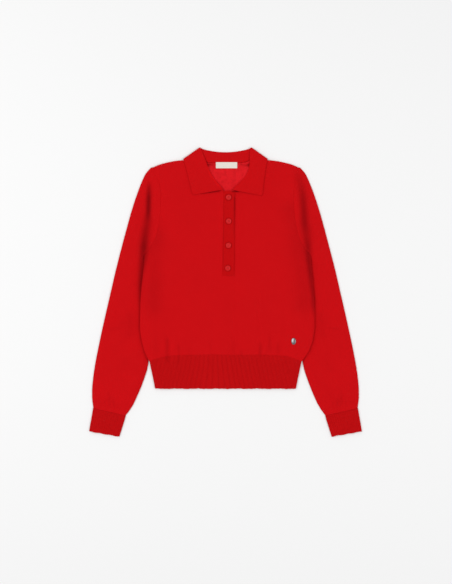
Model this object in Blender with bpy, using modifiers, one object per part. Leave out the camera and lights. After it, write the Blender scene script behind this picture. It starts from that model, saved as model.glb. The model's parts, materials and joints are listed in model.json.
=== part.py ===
"""Collared knit sweater, laid flat on its back.

Metres, +Z up. The sweater lies on Z = 0 with its collar toward +Y, and X = 0, Y = 0 is the
middle of its outline. Every section is worked out in millimetres and made metres at the end.

The body is a front and a back panel, one on the other. Below the armpit each sleeve is a closed
flat tube whose inner edge is tucked under the body. Above the armpit it is open toward the
armhole, level with the two panels. The collar is one strip, folded along its length and bent
flat round the neck: its back half lies under the back panel and its front half on the front.
"""

import bmesh
import bpy
import numpy as np
from mathutils import Vector

MM = 0.001

# Cloth, in millimetres
JERSEY = 1.2  # wall of body and sleeves
RIB_WALL = 1.4  # plain wall of waistband and cuffs
RIB_RELIEF = 0.6  # how far a rib stands over it
COLLAR_WALL = 1.5
PLACKET_WALL = 1.3
LABEL_WALL = 1.0
GAP = 0.3  # between pieces at a seam, and between two layers that touch
BODY_AIR = 3.0  # air between front and back away from the edges
SLEEVE_AIR = 3.4
PRESSED_AIR = 0.8  # air left in a sleeve where the body lies on it
PRESSED_MARGIN = 3.0  # how far outside the body's lip the sleeve is still pressed
EDGE_AIR = 0.6  # air at a rounded edge
CUFF_AIR = 0.9
HEM_AIR = 1.4
ROUNDING = 24.0  # how far in from an edge the cloth reaches its full height
FOLD_REACH = 2.0  # how far in from a fold the wall starts to turn over

SHARP_ANGLE = 50  # between faces, above which their edge is drawn sharp

# Ribs
WAISTBAND_RIBS = 36
CUFF_RIBS = 15
COLUMNS_PER_RIB = 3

# Buttons and plate
HARD_GAP = 0.35  # between a hard piece and the highest cloth under it
BUTTON_RADIUS = 6.35
BUTTON_HEIGHT = 2.2
TURN_STEPS = 20  # round a button or the plate
HOLE_RADIUS = 0.75
HOLE_SPREAD = 1.5
STUD_HALF_WIDTH = 5.5
STUD_HALF_LENGTH = 8.0
STUD_HEIGHT = 1.6
STUD_SPOT = (163.0, -118.0)


def table(columns, rows):
    """A short table whose first column is the place that the others are read at."""
    values = np.array(sorted(rows), float)
    return dict(zip(["at", *columns.split()[1:]], values.T))


def read(sizes, column, at):
    """A column of a table at any place, on a smooth curve through its rows."""
    knots, values = sizes["at"], sizes[column]
    slopes = np.gradient(values, knots)
    at = np.clip(np.asarray(at, float), knots[0], knots[-1])
    i = np.clip(np.searchsorted(knots, at) - 1, 0, len(knots) - 2)
    step = knots[i + 1] - knots[i]
    t = (at - knots[i]) / step
    start = (1 + 2 * t) * (1 - t) ** 2 * values[i] + t * (1 - t) ** 2 * step * slopes[i]
    end = t * t * (3 - 2 * t) * values[i + 1] + t * t * (t - 1) * step * slopes[i + 1]
    return start + end


# Rows of both panels: y at the side seam and armhole, at the slit and front neck, and on the
# middle of the back.
BODY_ROWS = table("side slit back", [
    (-167.0, -150.0, -150.0), (-157.0, -144.0, -144.0), (-141.0, -131.0, -131.0),
    (-118.0, -108.0, -108.0), (-90.0, -80.0, -80.0), (-56.0, -44.0, -44.0),
    (-22.0, -6.0, -6.0), (12.0, 39.6, 39.6), (38.0, 66.0, 66.0), (56.0, 86.0, 86.0),
    (66.0, 98.0, 98.0), (76.0, 110.0, 110.0), (87.0, 122.0, 122.0), (97.0, 133.0, 133.0),
    (110.0, 147.0, 147.0), (130.0, 166.0, 166.0), (158.0, 190.0, 190.0),
    (188.0, 214.0, 214.0), (216.0, 232.0, 232.0), (236.0, 244.0, 244.0),
    (248.0, 254.0, 253.0), (260.0, 266.0, 263.0), (272.0, 280.0, 274.0),
    (283.0, 296.0, 285.0), (292.0, 310.0, 296.0), (298.8, 321.5, 306.5),
])
SLIT_FOOT = 39.6
SLIT_TOP = 244.0

# How far out each side of the body reaches: side seam up to the armpit, armhole above it.
ARMPIT = 87.0
BODY_SIDES = table("y left right", [
    (-167.0, 181.5, 182.0), (-157.0, 187.4, 189.0), (-141.0, 194.0, 199.5),
    (-118.0, 200.2, 208.0), (-90.0, 204.6, 213.0), (-56.0, 204.2, 213.2),
    (-22.0, 203.2, 212.6), (12.0, 200.8, 210.0), (60.0, 195.6, 205.8), (76.0, 194.8, 204.6),
    (87.0, 194.6, 204.0), (97.0, 187.0, 195.5), (110.0, 178.0, 187.0), (130.0, 167.5, 177.0),
    (158.0, 160.0, 169.5), (188.0, 156.3, 165.0), (216.0, 154.8, 163.0), (236.0, 154.4, 162.5),
    (248.0, 155.5, 164.0), (260.0, 158.4, 166.0), (272.0, 162.6, 168.0), (283.0, 166.4, 169.6),
    (292.0, 169.6, 171.8), (298.8, 172.3, 174.0),
])

# The slit's two edges, which above its top are the front neck's seam.
NECK = table("y left right", [
    (-150.0, -8.4, 19.8), (39.6, -8.4, 19.8), (140.0, -6.7, 21.0), (244.0, -5.0, 22.1),
    (254.0, -27.0, 40.0), (266.0, -41.0, 53.0), (280.0, -51.5, 63.0), (296.0, -60.0, 69.0),
    (310.0, -66.0, 70.5), (321.5, -70.0, 70.0),
])

# The fall of the shoulder line from the neck (0) to the armhole (1).
SHOULDER = table("out fall", [
    (0.0, 0.0), (0.3, 0.26), (0.44, 0.31), (0.58, 0.405), (0.72, 0.55), (0.86, 0.72), (1.0, 1.0),
])
NECK_POINT_Y = 321.5
SHOULDER_TIP_Y = 298.8
HEM_CORNER = 6.0  # power of the curve by which the waistband seam drops at the sides
SEAM_DROP_FROM = -60.0  # y below which the rows start to take that curve, and how far it takes
SEAM_DROP_OVER = 100.0

# How the body's air thins out: toward the armpit, round the neck and over the waistband.
AIR_SIDE_FROM, AIR_SIDE_OVER = 115.0, 35.0
AIR_NECK_MIDDLE, AIR_NECK_RADII = (4.0, 322.0), (66.0, 78.0)
AIR_NECK_LEAST, AIR_NECK_FADE = 0.35, 0.35
AIR_HEM_LEAST, AIR_HEM_FROM, AIR_HEM_OVER = 0.6, -160.0, 45.0

# Where the body rises over what lies under it: a tucked sleeve, and the collar's back half.
TUCK_TOP_OVER, TUCK_FOOT, TUCK_FOOT_OVER = 22.0, -188.0, 30.0
TUCK_INSIDE, TUCK_INSIDE_OVER = 12.0, 22.0
BACK_RISE_BEFORE, BACK_RISE_OVER = 24.0, 12.0
BACK_RISE_OUT, BACK_RISE_OUT_OVER = 104.0, 16.0

# Where the columns of a panel stand, from its slit (0) to its side (1).
FRONT_STEPS = (0, 0.1, 0.21, 0.32, 0.43, 0.54, 0.65, 0.75, 0.84, 0.91, 0.955, 0.985, 1)
BACK_STEPS = (0, 0.25, 0.5, 0.75, 0.84, 0.91, 0.955, 0.985, 1)
BACK_MIDDLE = (-0.7, 0.0, 0.7)

# Sleeve edges: the outer fold, and the inner edge from the armpit to the cuff, whose middle
# stretch is hidden under the body.
SLEEVE_OUTER = table("y x", [
    (-278.4, 317.3), (-274.8, 317.6), (-265.2, 319.2), (-250.8, 320.6), (-231.6, 320.4),
    (-212.4, 319.0), (-193.2, 316.6), (-174.0, 313.7), (-130.8, 305.2), (-92.4, 297.0),
    (-44.4, 286.1), (3.6, 274.7), (51.6, 263.4), (99.6, 251.0), (147.6, 238.5), (195.6, 225.0),
    (229.2, 214.0), (253.2, 205.0), (267.6, 199.0), (277.2, 194.5), (286.8, 189.0),
    (291.6, 184.7), (298.2, 177.5),
])
SLEEVE_INNER = table("y left right", [
    (-295.9, 239.3, 239.3), (-289.2, 233.5, 233.8), (-279.6, 226.6, 227.1),
    (-270.0, 220.6, 221.3), (-250.8, 211.8, 212.1), (-231.6, 203.0, 204.2),
    (-212.4, 195.8, 196.7), (-193.2, 189.1, 190.2), (-174.0, 183.6, 183.8),
    (-166.0, 183.6, 184.2), (-146.0, 184.0, 186.5), (-120.0, 180.5, 187.0),
    (-86.0, 178.0, 186.0), (-50.0, 179.0, 187.5), (-14.0, 182.0, 191.5), (20.0, 186.5, 197.0),
    (46.0, 191.0, 201.8), (66.0, 195.8, 205.9),
])
# The crease beside the body: the body's lip below the armpit, a pleat in the sleeve above it.
CREASE = table("y left right", [
    (-172.0, 181.0, 182.5), (-155.8, 188.9, 191.5), (-138.7, 195.6, 202.0),
    (-114.7, 201.8, 210.5), (-87.6, 205.7, 214.6), (-53.0, 205.2, 214.0), (-18.0, 204.3, 213.4),
    (6.0, 203.0, 212.0), (60.2, 197.0, 207.4), (111.6, 193.7, 202.3), (159.6, 188.6, 195.4),
    (206.0, 182.0, 188.5), (240.0, 180.0, 185.0), (262.0, 181.0, 184.0),
])
PLEAT_DEPTH = table("y depth", [
    (60.0, 0.0), (96.0, 1.6), (130.0, 2.2), (190.0, 2.2), (232.0, 1.5), (262.0, 0.5), (280.0, 0.0),
])
PLEAT_WIDTH = 6.0
PLEAT_TO_FOLD = 40.0  # how far out of the crease the sleeve keeps the body's air

# Where the body presses a sleeve flat: from y down to y, each end faded, and out of the crease.
PRESSED_TOP, PRESSED_TOP_OVER = 98.0, 32.0
PRESSED_FOOT, PRESSED_FOOT_OVER = -200.0, 40.0
PRESSED_OUT_OVER = 20.0
FREE_EDGE_FROM, FREE_EDGE_OVER = -150.0, 40.0  # y below which the inner edge is a free fold
CUFF_FADE_FROM, CUFF_FADE_OVER = -235.0, 40.0  # y at the outer fold where the air thins out
CUFF_FADE_SLOPE, CUFF_FADE_SHARE = 0.22, 0.75
ARMHOLE_CLOSED_FROM, ARMHOLE_CLOSED_OVER = 112.0, 25.0
SEAM_STEP = 1.4 * GAP  # from an armhole or side seam to the sleeve

# Sleeve rows below the armpit: y at the outer fold and at the inner edge.
SLEEVE_ROWS = (
    (76.0, 76.0), (66.0, 66.0), (46.0, 46.0), (18.0, 18.0), (-18.0, -18.0), (-54.0, -54.0),
    (-88.0, -90.0), (-118.0, -122.0), (-142.0, -148.0), (-160.0, -168.0), (-178.0, -188.0),
    (-198.0, -209.0), (-218.0, -230.0), (-236.0, -250.0), (-252.0, -267.0), (-264.0, -280.0),
    (-273.0, -290.0), (-278.4, -295.9),
)
SLEEVE_TOP_IN = (0.45, 1.0)  # columns from the inner edge to the crease
SLEEVE_TOP_OUT = (0.12, 0.3, 0.55, 0.8)  # and from the crease to the outer fold
SLEEVE_BELOW = (0.75, 0.4, 0.15)  # columns of the underside, from the outer fold to the inner

# Cuffs: the two edges.
CUFF_ROWS = (  # outer x, outer y, inner x, inner y
    (317.4, -278.8, 239.4, -296.3), (320.4, -297.0, 243.2, -310.0),
    (323.8, -315.6, 248.9, -328.0), (326.8, -334.2, 254.9, -346.9),
)
CUFF_BELOW = (0.96, 0.75, 0.5, 0.25, 0.04, 0.0)  # columns of the underside, outer to inner
CUFF_ROUNDING = 12.0

# Waistband: how far out its side folds reach.
BAND_SIDES = table("y x", [
    (-231.9, 168.6), (-222.0, 171.2), (-212.4, 172.9), (-202.8, 174.2), (-193.2, 176.3),
    (-183.6, 178.4), (-174.0, 180.8), (-167.0, 181.6),
])
BAND_FOOT = -231.9
BAND_ROUNDING = 14.0
BAND_ROWS = (0.0, 0.2, 0.6, 1.0)  # from its seam to the hem

# Soft troughs in the front, mostly gathers above the waistband.
TROUGHS = table("x top foot width depth", [
    (-168.0, 5.0, -104.0, 11.0, 0.9), (-139.0, -104.0, -166.0, 8.0, 1.7),
    (-108.0, -84.0, -146.0, 10.0, 1.0), (-36.0, -12.0, -134.0, 12.0, 1.1),
    (19.0, 12.0, -146.0, 12.0, 1.1), (82.0, 12.0, -158.0, 10.0, 1.8),
    (106.0, -70.0, -158.0, 9.0, 0.8), (126.0, -112.0, -166.0, 9.0, 1.3),
])
TROUGH_FADE = 26.0
TROUGH_FOOT_FADE = 8.0

# The collar, a row for each station from its left front end round the back to its right front
# end. Across it run the neck seam, the fold, and the free edge of the fall. turn says how the
# fall lies on the stand there: 0 above it, 90 outside it, 180 below it.
COLLAR = (  # seam x, y,     fold x, y,      edge x, y,      turn
    (-8.0, 246.4, -4.0, 245.2, -78.5, 232.3, 0),
    (-26.2, 254.8, -14.0, 257.5, -81.5, 243.0, 0),
    (-40.2, 266.7, -26.0, 270.5, -85.0, 257.0, 0),
    (-50.7, 280.5, -35.5, 285.0, -88.5, 271.0, 0),
    (-59.2, 296.3, -42.5, 302.5, -92.0, 286.0, 0),
    (-65.2, 310.2, -50.0, 322.0, -95.5, 300.0, 0),
    (-68.4, 320.2, -58.6, 343.6, -99.9, 316.0, 30),
    (-69.2, 322.8, -60.5, 347.0, -101.5, 318.6, 90),
    (-67.8, 321.6, -58.4, 343.8, -99.9, 316.0, 150),
    (-48.6, 311.0, -42.0, 339.5, -70.0, 292.0, 180),
    (-24.0, 309.1, -21.0, 336.0, -35.0, 284.0, 180),
    (0.0, 307.0, 0.0, 334.9, 0.0, 282.0, 180),
    (24.0, 309.1, 21.0, 336.0, 35.0, 284.0, 180),
    (48.6, 311.0, 42.5, 339.5, 70.0, 292.0, 180),
    (67.8, 321.6, 58.8, 343.8, 99.9, 316.0, 150),
    (69.2, 322.8, 61.0, 347.0, 101.5, 318.6, 90),
    (68.8, 320.2, 59.0, 343.6, 99.9, 316.0, 30),
    (69.7, 310.2, 57.5, 322.0, 97.0, 300.0, 0),
    (68.2, 296.3, 57.8, 302.5, 95.0, 286.0, 0),
    (62.2, 280.5, 53.0, 284.5, 93.0, 271.0, 0),
    (52.2, 266.7, 42.0, 270.5, 91.0, 257.0, 0),
    (39.2, 254.8, 28.0, 257.5, 89.5, 243.0, 0),
    (26.0, 247.2, 15.2, 244.2, 88.3, 230.4, 0),
)
COLLAR_EDGE = table("x y", [(0.0, 282.0), (35.0, 284.0), (70.0, 292.0), (98.0, 311.5)])
STAND_STEPS = (0.0, 0.5)
FALL_STEPS = (0.2, 0.45, 0.75, 1.0)
COLLAR_ROLL = 0.9  # radius of the fold along the collar
LEAF_AIR = 0.9  # air between the front and the fall that lies on it
LEAF_HEIGHT = 6.7  # least height of the middle of the fall where it lies on the front
FRONT_TURN, FRONT_TURN_OVER = 120.0, 60.0  # turn below which the strip starts to rise to the front
OUTWARD_RISE = 0.25  # slope of the line along which the fall passes outside the stand

# Placket, buttons and label
PLACKET_TURN = 5.0  # how far in from its sewn edge the upper placket lies over the lower one
PLACKET_CLEAR = 1.0  # between that turn and the lower placket's edge
PLACKET_LAP = 0.6  # how far the upper one's free edge reaches past the slit
PLACKET_TOP = 242.0
BUTTONS = ((7.4, 226.8), (7.7, 169.7), (7.2, 111.6), (5.5, 57.1))
LABEL_X = (-23.0, 28.0)
LABEL_Y = (296.6, 304.0, 311.0)
LABEL_GAP = 0.4  # from the cloth under it

COLLAR_LIFT = COLLAR_WALL + GAP  # how far the collar's back half lifts the back panel
SLEEVE_LIFT = 2 * JERSEY + PRESSED_AIR + 0.4  # how far a tucked sleeve lifts the body

LEFT, RIGHT = -1, 1
SIDE_NAME = {LEFT: "left", RIGHT: "right"}


def ease(t):
    """0 below t = 0, 1 above t = 1, and a smooth rise between them."""
    t = np.clip(t, 0, 1)
    return t * t * (3 - 2 * t)


def rounded(distance, reach=ROUNDING):
    """A quarter ellipse from 0 at an edge to 1 at its reach."""
    t = np.clip(np.asarray(distance, float) / reach, 0, 1)
    return np.sqrt(1 - (1 - t) ** 2)


def neck_edge(side, y):
    """x of the slit's edge or the front neck's seam, straight between its rows."""
    return np.interp(y, NECK["at"], NECK[SIDE_NAME[side]])


def side_value(sizes, x, y):
    """The left column of a table where x is negative, and its right one elsewhere."""
    return np.where(x < 0, read(sizes, "left", y), read(sizes, "right", y))


def floor_height(x, y):
    """What the body lies on: the floor, a tucked sleeve or the collar's back half."""
    inside = side_value(SLEEVE_INNER, x, y) - np.abs(x)
    on_sleeve = ease((ARMPIT + 1 - y) / TUCK_TOP_OVER) * ease((y - TUCK_FOOT) / TUCK_FOOT_OVER)
    on_sleeve = on_sleeve * (1 - ease((inside - TUCK_INSIDE) / TUCK_INSIDE_OVER))
    above_edge = y - read(COLLAR_EDGE, "y", np.abs(x))
    on_collar = ease((above_edge + BACK_RISE_BEFORE) / BACK_RISE_OVER)
    on_collar = on_collar * (1 - ease((np.abs(x) - BACK_RISE_OUT) / BACK_RISE_OUT_OVER))
    return SLEEVE_LIFT * on_sleeve + COLLAR_LIFT * on_collar


def shoulder_line(x):
    """Height y of the shoulder seam at x."""
    neck, tip = neck_edge(RIGHT, NECK_POINT_Y), read(BODY_SIDES, "right", SHOULDER_TIP_Y)
    fall = read(SHOULDER, "fall", (np.abs(x) - neck) / (tip - neck))
    return NECK_POINT_Y + (SHOULDER_TIP_Y - NECK_POINT_Y) * fall


def trough_depth(x, y):
    """How far the troughs press the front down."""
    depth = np.zeros_like(np.asarray(x, float))
    rows = zip(*(TROUGHS[name] for name in ("at", "top", "foot", "width", "depth")))
    for middle, top, foot, width, deep in rows:
        along = ease((top - y) / TROUGH_FADE + 0.5) * ease((y - foot) / TROUGH_FOOT_FADE + 0.5)
        depth = depth + deep * along * np.exp(-(((x - middle) / width) ** 2))
    return depth


def body_air(x, y):
    """Air between back and front."""
    below_armpit = ease((AIR_SIDE_FROM - y) / AIR_SIDE_OVER)
    side = 1 - below_armpit * (1 - rounded(side_value(BODY_SIDES, x, y) - np.abs(x)))
    shoulder = rounded(np.maximum(shoulder_line(x) - y, 0))
    (mid_x, mid_y), (wide, tall) = AIR_NECK_MIDDLE, AIR_NECK_RADII
    from_neck = np.hypot((x - mid_x) / wide, (y - mid_y) / tall) - 1
    neck = AIR_NECK_LEAST + (1 - AIR_NECK_LEAST) * ease(from_neck / AIR_NECK_FADE)
    hem = AIR_HEM_LEAST + (1 - AIR_HEM_LEAST) * ease((y - AIR_HEM_FROM) / AIR_HEM_OVER)
    full = (BODY_AIR - EDGE_AIR) * side * np.minimum(shoulder, neck) * hem
    return np.maximum(EDGE_AIR + full - trough_depth(x, y) * side, GAP)


def front_bottom(x, y):
    return floor_height(x, y) + JERSEY + body_air(x, y)


def front_top(x, y):
    return front_bottom(x, y) + JERSEY


def grid(x, y, z):
    return np.stack(np.broadcast_arrays(x, y, z), axis=-1).astype(float)


def material(name, colour, roughness, metallic=0.0, sheen=0.0):
    """A plain Principled BSDF. colour is sRGB, 0 to 255."""
    made = bpy.data.materials.new(name)
    made.use_nodes = True
    shader = made.node_tree.nodes["Principled BSDF"]
    linear = [((c / 255 + 0.055) / 1.055) ** 2.4 if c > 10 else c / 255 / 12.92 for c in colour]
    shader.inputs["Base Color"].default_value = (*linear, 1)
    shader.inputs["Roughness"].default_value = roughness
    shader.inputs["Metallic"].default_value = metallic
    shader.inputs["Sheen Weight"].default_value = sheen
    made.diffuse_color = (*linear, 1)
    return made


def place(name, mesh, finish):
    """An object for a mesh, in the sweater's collection."""
    mesh.materials.append(finish)
    made = bpy.data.objects.new(name, mesh)
    bpy.data.collections["collared_sweater"].objects.link(made)
    return made


def wall(name, outer, inner, finish, kept=None, joined=None):
    """A closed wall between two grids of points, rows by columns by 3, in millimetres.

    kept marks the cells that have cloth, and joined the rows whose last column is their first.
    """
    rows, columns = outer.shape[:2]
    number = np.arange(rows * columns).reshape(rows, columns)
    if joined is not None:
        number[joined, -1] = number[joined, 0]
    faces, used = [], {}
    for r in range(rows - 1):
        for c in range(columns - 1):
            if kept is not None and not kept[r, c]:
                continue
            ring = (number[r, c], number[r, c + 1], number[r + 1, c + 1], number[r + 1, c])
            ring = list(dict.fromkeys(int(v) for v in ring))
            faces.append(ring)
            for a, b in zip(ring, ring[1:] + ring[:1]):
                used[frozenset((a, b))] = None if frozenset((a, b)) in used else (a, b)
    across = rows * columns
    faces += [[v + across for v in reversed(ring)] for ring in faces]
    faces += [[b, a, a + across, b + across] for a, b in filter(None, used.values())]
    points = np.concatenate([outer.reshape(-1, 3), inner.reshape(-1, 3)]) * MM
    mesh = bpy.data.meshes.new(name)
    mesh.from_pydata([tuple(p) for p in points], [], faces)
    soft = bmesh.new()
    soft.from_mesh(mesh)
    bmesh.ops.delete(soft, geom=[v for v in soft.verts if not v.link_faces], context="VERTS")
    bmesh.ops.recalc_face_normals(soft, faces=soft.faces)
    soft.to_mesh(mesh)
    soft.free()
    mesh.shade_smooth()
    mesh.set_sharp_from_angle(angle=np.radians(SHARP_ANGLE))
    return place(name, mesh, finish)


def panel_half(side, steps):
    """x and y of one half of a panel, rows by columns, from its slit to its side."""
    side_y, slit_y = BODY_ROWS["at"][:, None], BODY_ROWS["slit"][:, None]
    out = np.array(steps, float)[None, :]
    inner = neck_edge(side, slit_y)
    outer = side * read(BODY_SIDES, SIDE_NAME[side], side_y)
    shoulder = read(SHOULDER, "fall", out)
    to_corner = ease((SEAM_DROP_FROM - side_y) / SEAM_DROP_OVER)
    fall = shoulder + (out**HEM_CORNER - shoulder) * to_corner
    return inner + (outer - inner) * out, slit_y + (side_y - slit_y) * fall


def front_grid():
    """x and y of the front's points from its left side to its right one."""
    left_x, left_y = panel_half(LEFT, FRONT_STEPS)
    right_x, right_y = panel_half(RIGHT, FRONT_STEPS)
    middle_x = (left_x[:, :1] + right_x[:, :1]) / 2
    x = np.hstack([left_x[:, ::-1], middle_x, right_x])
    y = np.hstack([left_y[:, ::-1], right_y[:, :1], right_y])
    return x, y


def back_grid():
    """x and y of the back's points from its left side to its right one."""
    left_x, left_y = panel_half(LEFT, BACK_STEPS)
    right_x, right_y = panel_half(RIGHT, BACK_STEPS)
    across = np.array(BACK_MIDDLE)[None, :]
    middle_x = left_x[:, :1] + (right_x[:, :1] - left_x[:, :1]) * (across + 1) / 2
    low, high = BODY_ROWS["back"][:, None], BODY_ROWS["slit"][:, None]
    middle_y = low + (high - low) * across**4
    x = np.hstack([left_x[:, ::-1], middle_x, right_x])
    y = np.hstack([left_y[:, ::-1], middle_y, right_y])
    return x, y


def make_front(finish):
    x, y = front_grid()
    kept = np.ones((x.shape[0] - 1, x.shape[1] - 1), bool)
    slit = len(FRONT_STEPS) - 1
    kept[BODY_ROWS["slit"][:-1] >= SLIT_FOOT - 0.1, slit:slit + 2] = False
    wall("front", grid(x, y, front_top(x, y)), grid(x, y, front_bottom(x, y)), finish, kept)


def make_back(finish):
    x, y = back_grid()
    bottom = floor_height(x, y)
    wall("back", grid(x, y, bottom + JERSEY), grid(x, y, bottom), finish)


def pressing(side, x, y):
    """1 where the body presses the sleeve flat, 0 where the sleeve is free."""
    covered = ease((PRESSED_TOP - y) / PRESSED_TOP_OVER)
    covered = covered * ease((y - PRESSED_FOOT) / PRESSED_FOOT_OVER)
    beyond = side * x - read(CREASE, SIDE_NAME[side], y) - PRESSED_MARGIN
    return covered * (1 - ease(beyond / PRESSED_OUT_OVER))


def sleeve_air(side, x, y, from_outer, from_inner):
    """Air inside the sleeve."""
    free_edge = ease((FREE_EDGE_FROM - y) / FREE_EDGE_OVER)
    edges = rounded(from_outer) * (1 - free_edge * (1 - rounded(from_inner)))
    fade_from = CUFF_FADE_FROM - CUFF_FADE_SLOPE * (CUFF_ROWS[1][0] - side * x)
    cuff = 1 - CUFF_FADE_SHARE * ease((fade_from - y) / CUFF_FADE_OVER)
    off_crease = side * x - read(CREASE, SIDE_NAME[side], y)
    at_armhole = ease((PLEAT_TO_FOLD - off_crease) / PLEAT_TO_FOLD)
    above = ease((y - ARMPIT) / ROUNDING) * at_armhole
    full = SLEEVE_AIR + (BODY_AIR - SLEEVE_AIR) * above
    air = EDGE_AIR + (full - EDGE_AIR) * edges * cuff
    pressed = pressing(side, x, y)
    air = air * (1 - pressed) + PRESSED_AIR * pressed
    pleat = np.exp(-((off_crease / PLEAT_WIDTH) ** 2))
    air = air - read(PLEAT_DEPTH, "depth", y) * pleat * edges
    return np.maximum(air, EDGE_AIR)


def sleeve_row(side, outer, inner, closed):
    """Outer and inner points round one row of a sleeve.

    outer and inner are the ends of the row, as (x, y) with x out from the middle. closed is 1
    where the inner edge is a fold, 0 where it is an open armhole, and between them near the
    armpit.
    """
    (outer_x, outer_y), (inner_x, inner_y) = outer, inner
    width = np.hypot(outer_x - inner_x, outer_y - inner_y)
    reach = min(FOLD_REACH, width * 0.45)
    crease = read(CREASE, SIDE_NAME[side], inner_y) + PRESSED_MARGIN * (inner_y < ARMPIT) - inner_x
    free = width - 2 * reach
    knee = np.clip(crease, reach + 0.12 * free, reach + 0.6 * free)
    top = [0, reach] + [reach + (knee - reach) * t for t in SLEEVE_TOP_IN]
    top += [knee + (width - reach - knee) * t for t in SLEEVE_TOP_OUT] + [width - reach, width]
    below = [width - reach] + [reach + (width - 2 * reach) * t for t in SLEEVE_BELOW] + [reach, 0]
    along = np.array(top + below) / width
    upper = np.array([True] * len(top) + [False] * len(below))
    upper[len(top) - 1] = True

    def ring(inset):
        start, end = inset * closed / width, 1 - inset / width
        t = start + (end - start) * along
        x = side * (inner_x + (outer_x - inner_x) * t)
        y = inner_y + (outer_y - inner_y) * t
        air = sleeve_air(side, x, y, (1 - along) * width, along * width)
        height = 2 * JERSEY + air
        half = (height / 2 - inset) * np.where(upper, 1, -1)
        half[along == along.max()] = 0
        half[along == 0] *= 1 - closed
        z = height / 2 + half
        return grid(x, y, z)

    return ring(0.0), ring(JERSEY)


def make_sleeve(side, finish):
    """One sleeve: rows open toward the armhole, then closed rows down to the cuff."""
    name = SIDE_NAME[side]
    outers, inners, joined = [], [], []
    armhole = [y for y in BODY_ROWS["at"][::-1] if y >= ARMPIT]
    for y in armhole:
        outer_y = min(y, SLEEVE_OUTER["at"][-1])
        seam = (read(BODY_SIDES, name, y) + SEAM_STEP, y)
        closed = ease((ARMHOLE_CLOSED_FROM - y) / ARMHOLE_CLOSED_OVER)
        ring = sleeve_row(side, (read(SLEEVE_OUTER, "x", outer_y), outer_y), seam, closed)
        outers.append(ring[0])
        inners.append(ring[1])
        joined.append(y == ARMPIT)
    for outer_y, inner_y in SLEEVE_ROWS:
        inner_x = read(SLEEVE_INNER, name, inner_y)
        if inner_y > SLEEVE_INNER["at"][-1]:
            inner_x = read(BODY_SIDES, name, inner_y) + SEAM_STEP
        outer = (read(SLEEVE_OUTER, "x", outer_y), outer_y)
        ring = sleeve_row(side, outer, (inner_x, inner_y), 1.0)
        outers.append(ring[0])
        inners.append(ring[1])
        joined.append(True)
    wall(f"sleeve_{name}", np.array(outers), np.array(inners), finish, joined=np.array(joined))


def make_cuff(side, finish):
    """A flat rib tube. Its top skin has the ribs, and its underside is plain."""
    top = np.linspace(0, 1, CUFF_RIBS * COLUMNS_PER_RIB + 1)
    ribbed = np.where(np.arange(len(top)) % COLUMNS_PER_RIB == 0, 0.0, RIB_RELIEF)
    below = np.array(CUFF_BELOW)
    across = np.concatenate([top, below])
    relief = np.concatenate([ribbed, np.zeros(len(below))])
    upper = np.arange(len(across)) < len(top)

    def ring(outer_x, outer_y, inner_x, inner_y, inset):
        width = np.hypot(outer_x - inner_x, outer_y - inner_y)
        t = inset / width + (1 - 2 * inset / width) * across
        air = CUFF_AIR * rounded(np.minimum(across, 1 - across) * width, CUFF_ROUNDING)
        height = 2 * RIB_WALL + np.maximum(air, GAP)
        at_fold = (across == 0) | (across == 1)
        half = np.where(at_fold, 0, height / 2 - inset)
        z = height / 2 + half * np.where(upper, 1, -1)
        z = z + (relief if inset == 0 else 0)
        x = side * (inner_x + (outer_x - inner_x) * t)
        return grid(x, inner_y + (outer_y - inner_y) * t, z)

    outer = np.array([ring(*row, 0.0) for row in CUFF_ROWS])
    inner = np.array([ring(*row, RIB_WALL) for row in CUFF_ROWS])
    joined = np.ones(len(CUFF_ROWS), bool)
    wall(f"cuff_{SIDE_NAME[side]}", outer, inner, finish, joined=joined)


def band_grid(across, panel):
    """x and y of a half of the waistband under a panel's lowest row.

    across holds its columns, from -1 on the left to 1 on the right.
    """
    seam_x, seam_y = (values[0] for values in panel)
    left, right = seam_x[0], seam_x[-1]
    top_x = left + (right - left) * (across + 1) / 2
    top_y = np.interp(top_x, seam_x, seam_y) - GAP
    rows_x, rows_y = [], []
    for t in BAND_ROWS:
        y = top_y + (BAND_FOOT - top_y) * t
        reach = read(BAND_SIDES, "x", y[0])
        x = across * reach if t else top_x
        rows_x.append(x)
        rows_y.append(y)
    return np.array(rows_x), np.array(rows_y)


def band_air(x, y):
    inside = read(BAND_SIDES, "x", y) - np.abs(x)
    return EDGE_AIR + (HEM_AIR - EDGE_AIR) * rounded(inside, BAND_ROUNDING)


def make_waistband(finish):
    columns = WAISTBAND_RIBS * COLUMNS_PER_RIB
    across = np.linspace(-1, 1, columns + 1)
    relief = np.where(np.arange(columns + 1) % COLUMNS_PER_RIB == 0, 0, RIB_RELIEF)
    x, y = band_grid(across, front_grid())
    bottom = floor_height(x, y) + RIB_WALL + band_air(x, y)
    wall("waistband_front", grid(x, y, bottom + RIB_WALL + relief), grid(x, y, bottom), finish)
    seam_x = back_grid()[0][0]
    across = 2 * (seam_x - seam_x[0]) / (seam_x[-1] - seam_x[0]) - 1
    x, y = band_grid(across, back_grid())
    bottom = floor_height(x, y)
    wall("waistband_back", grid(x, y, bottom + RIB_WALL), grid(x, y, bottom), finish)


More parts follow.
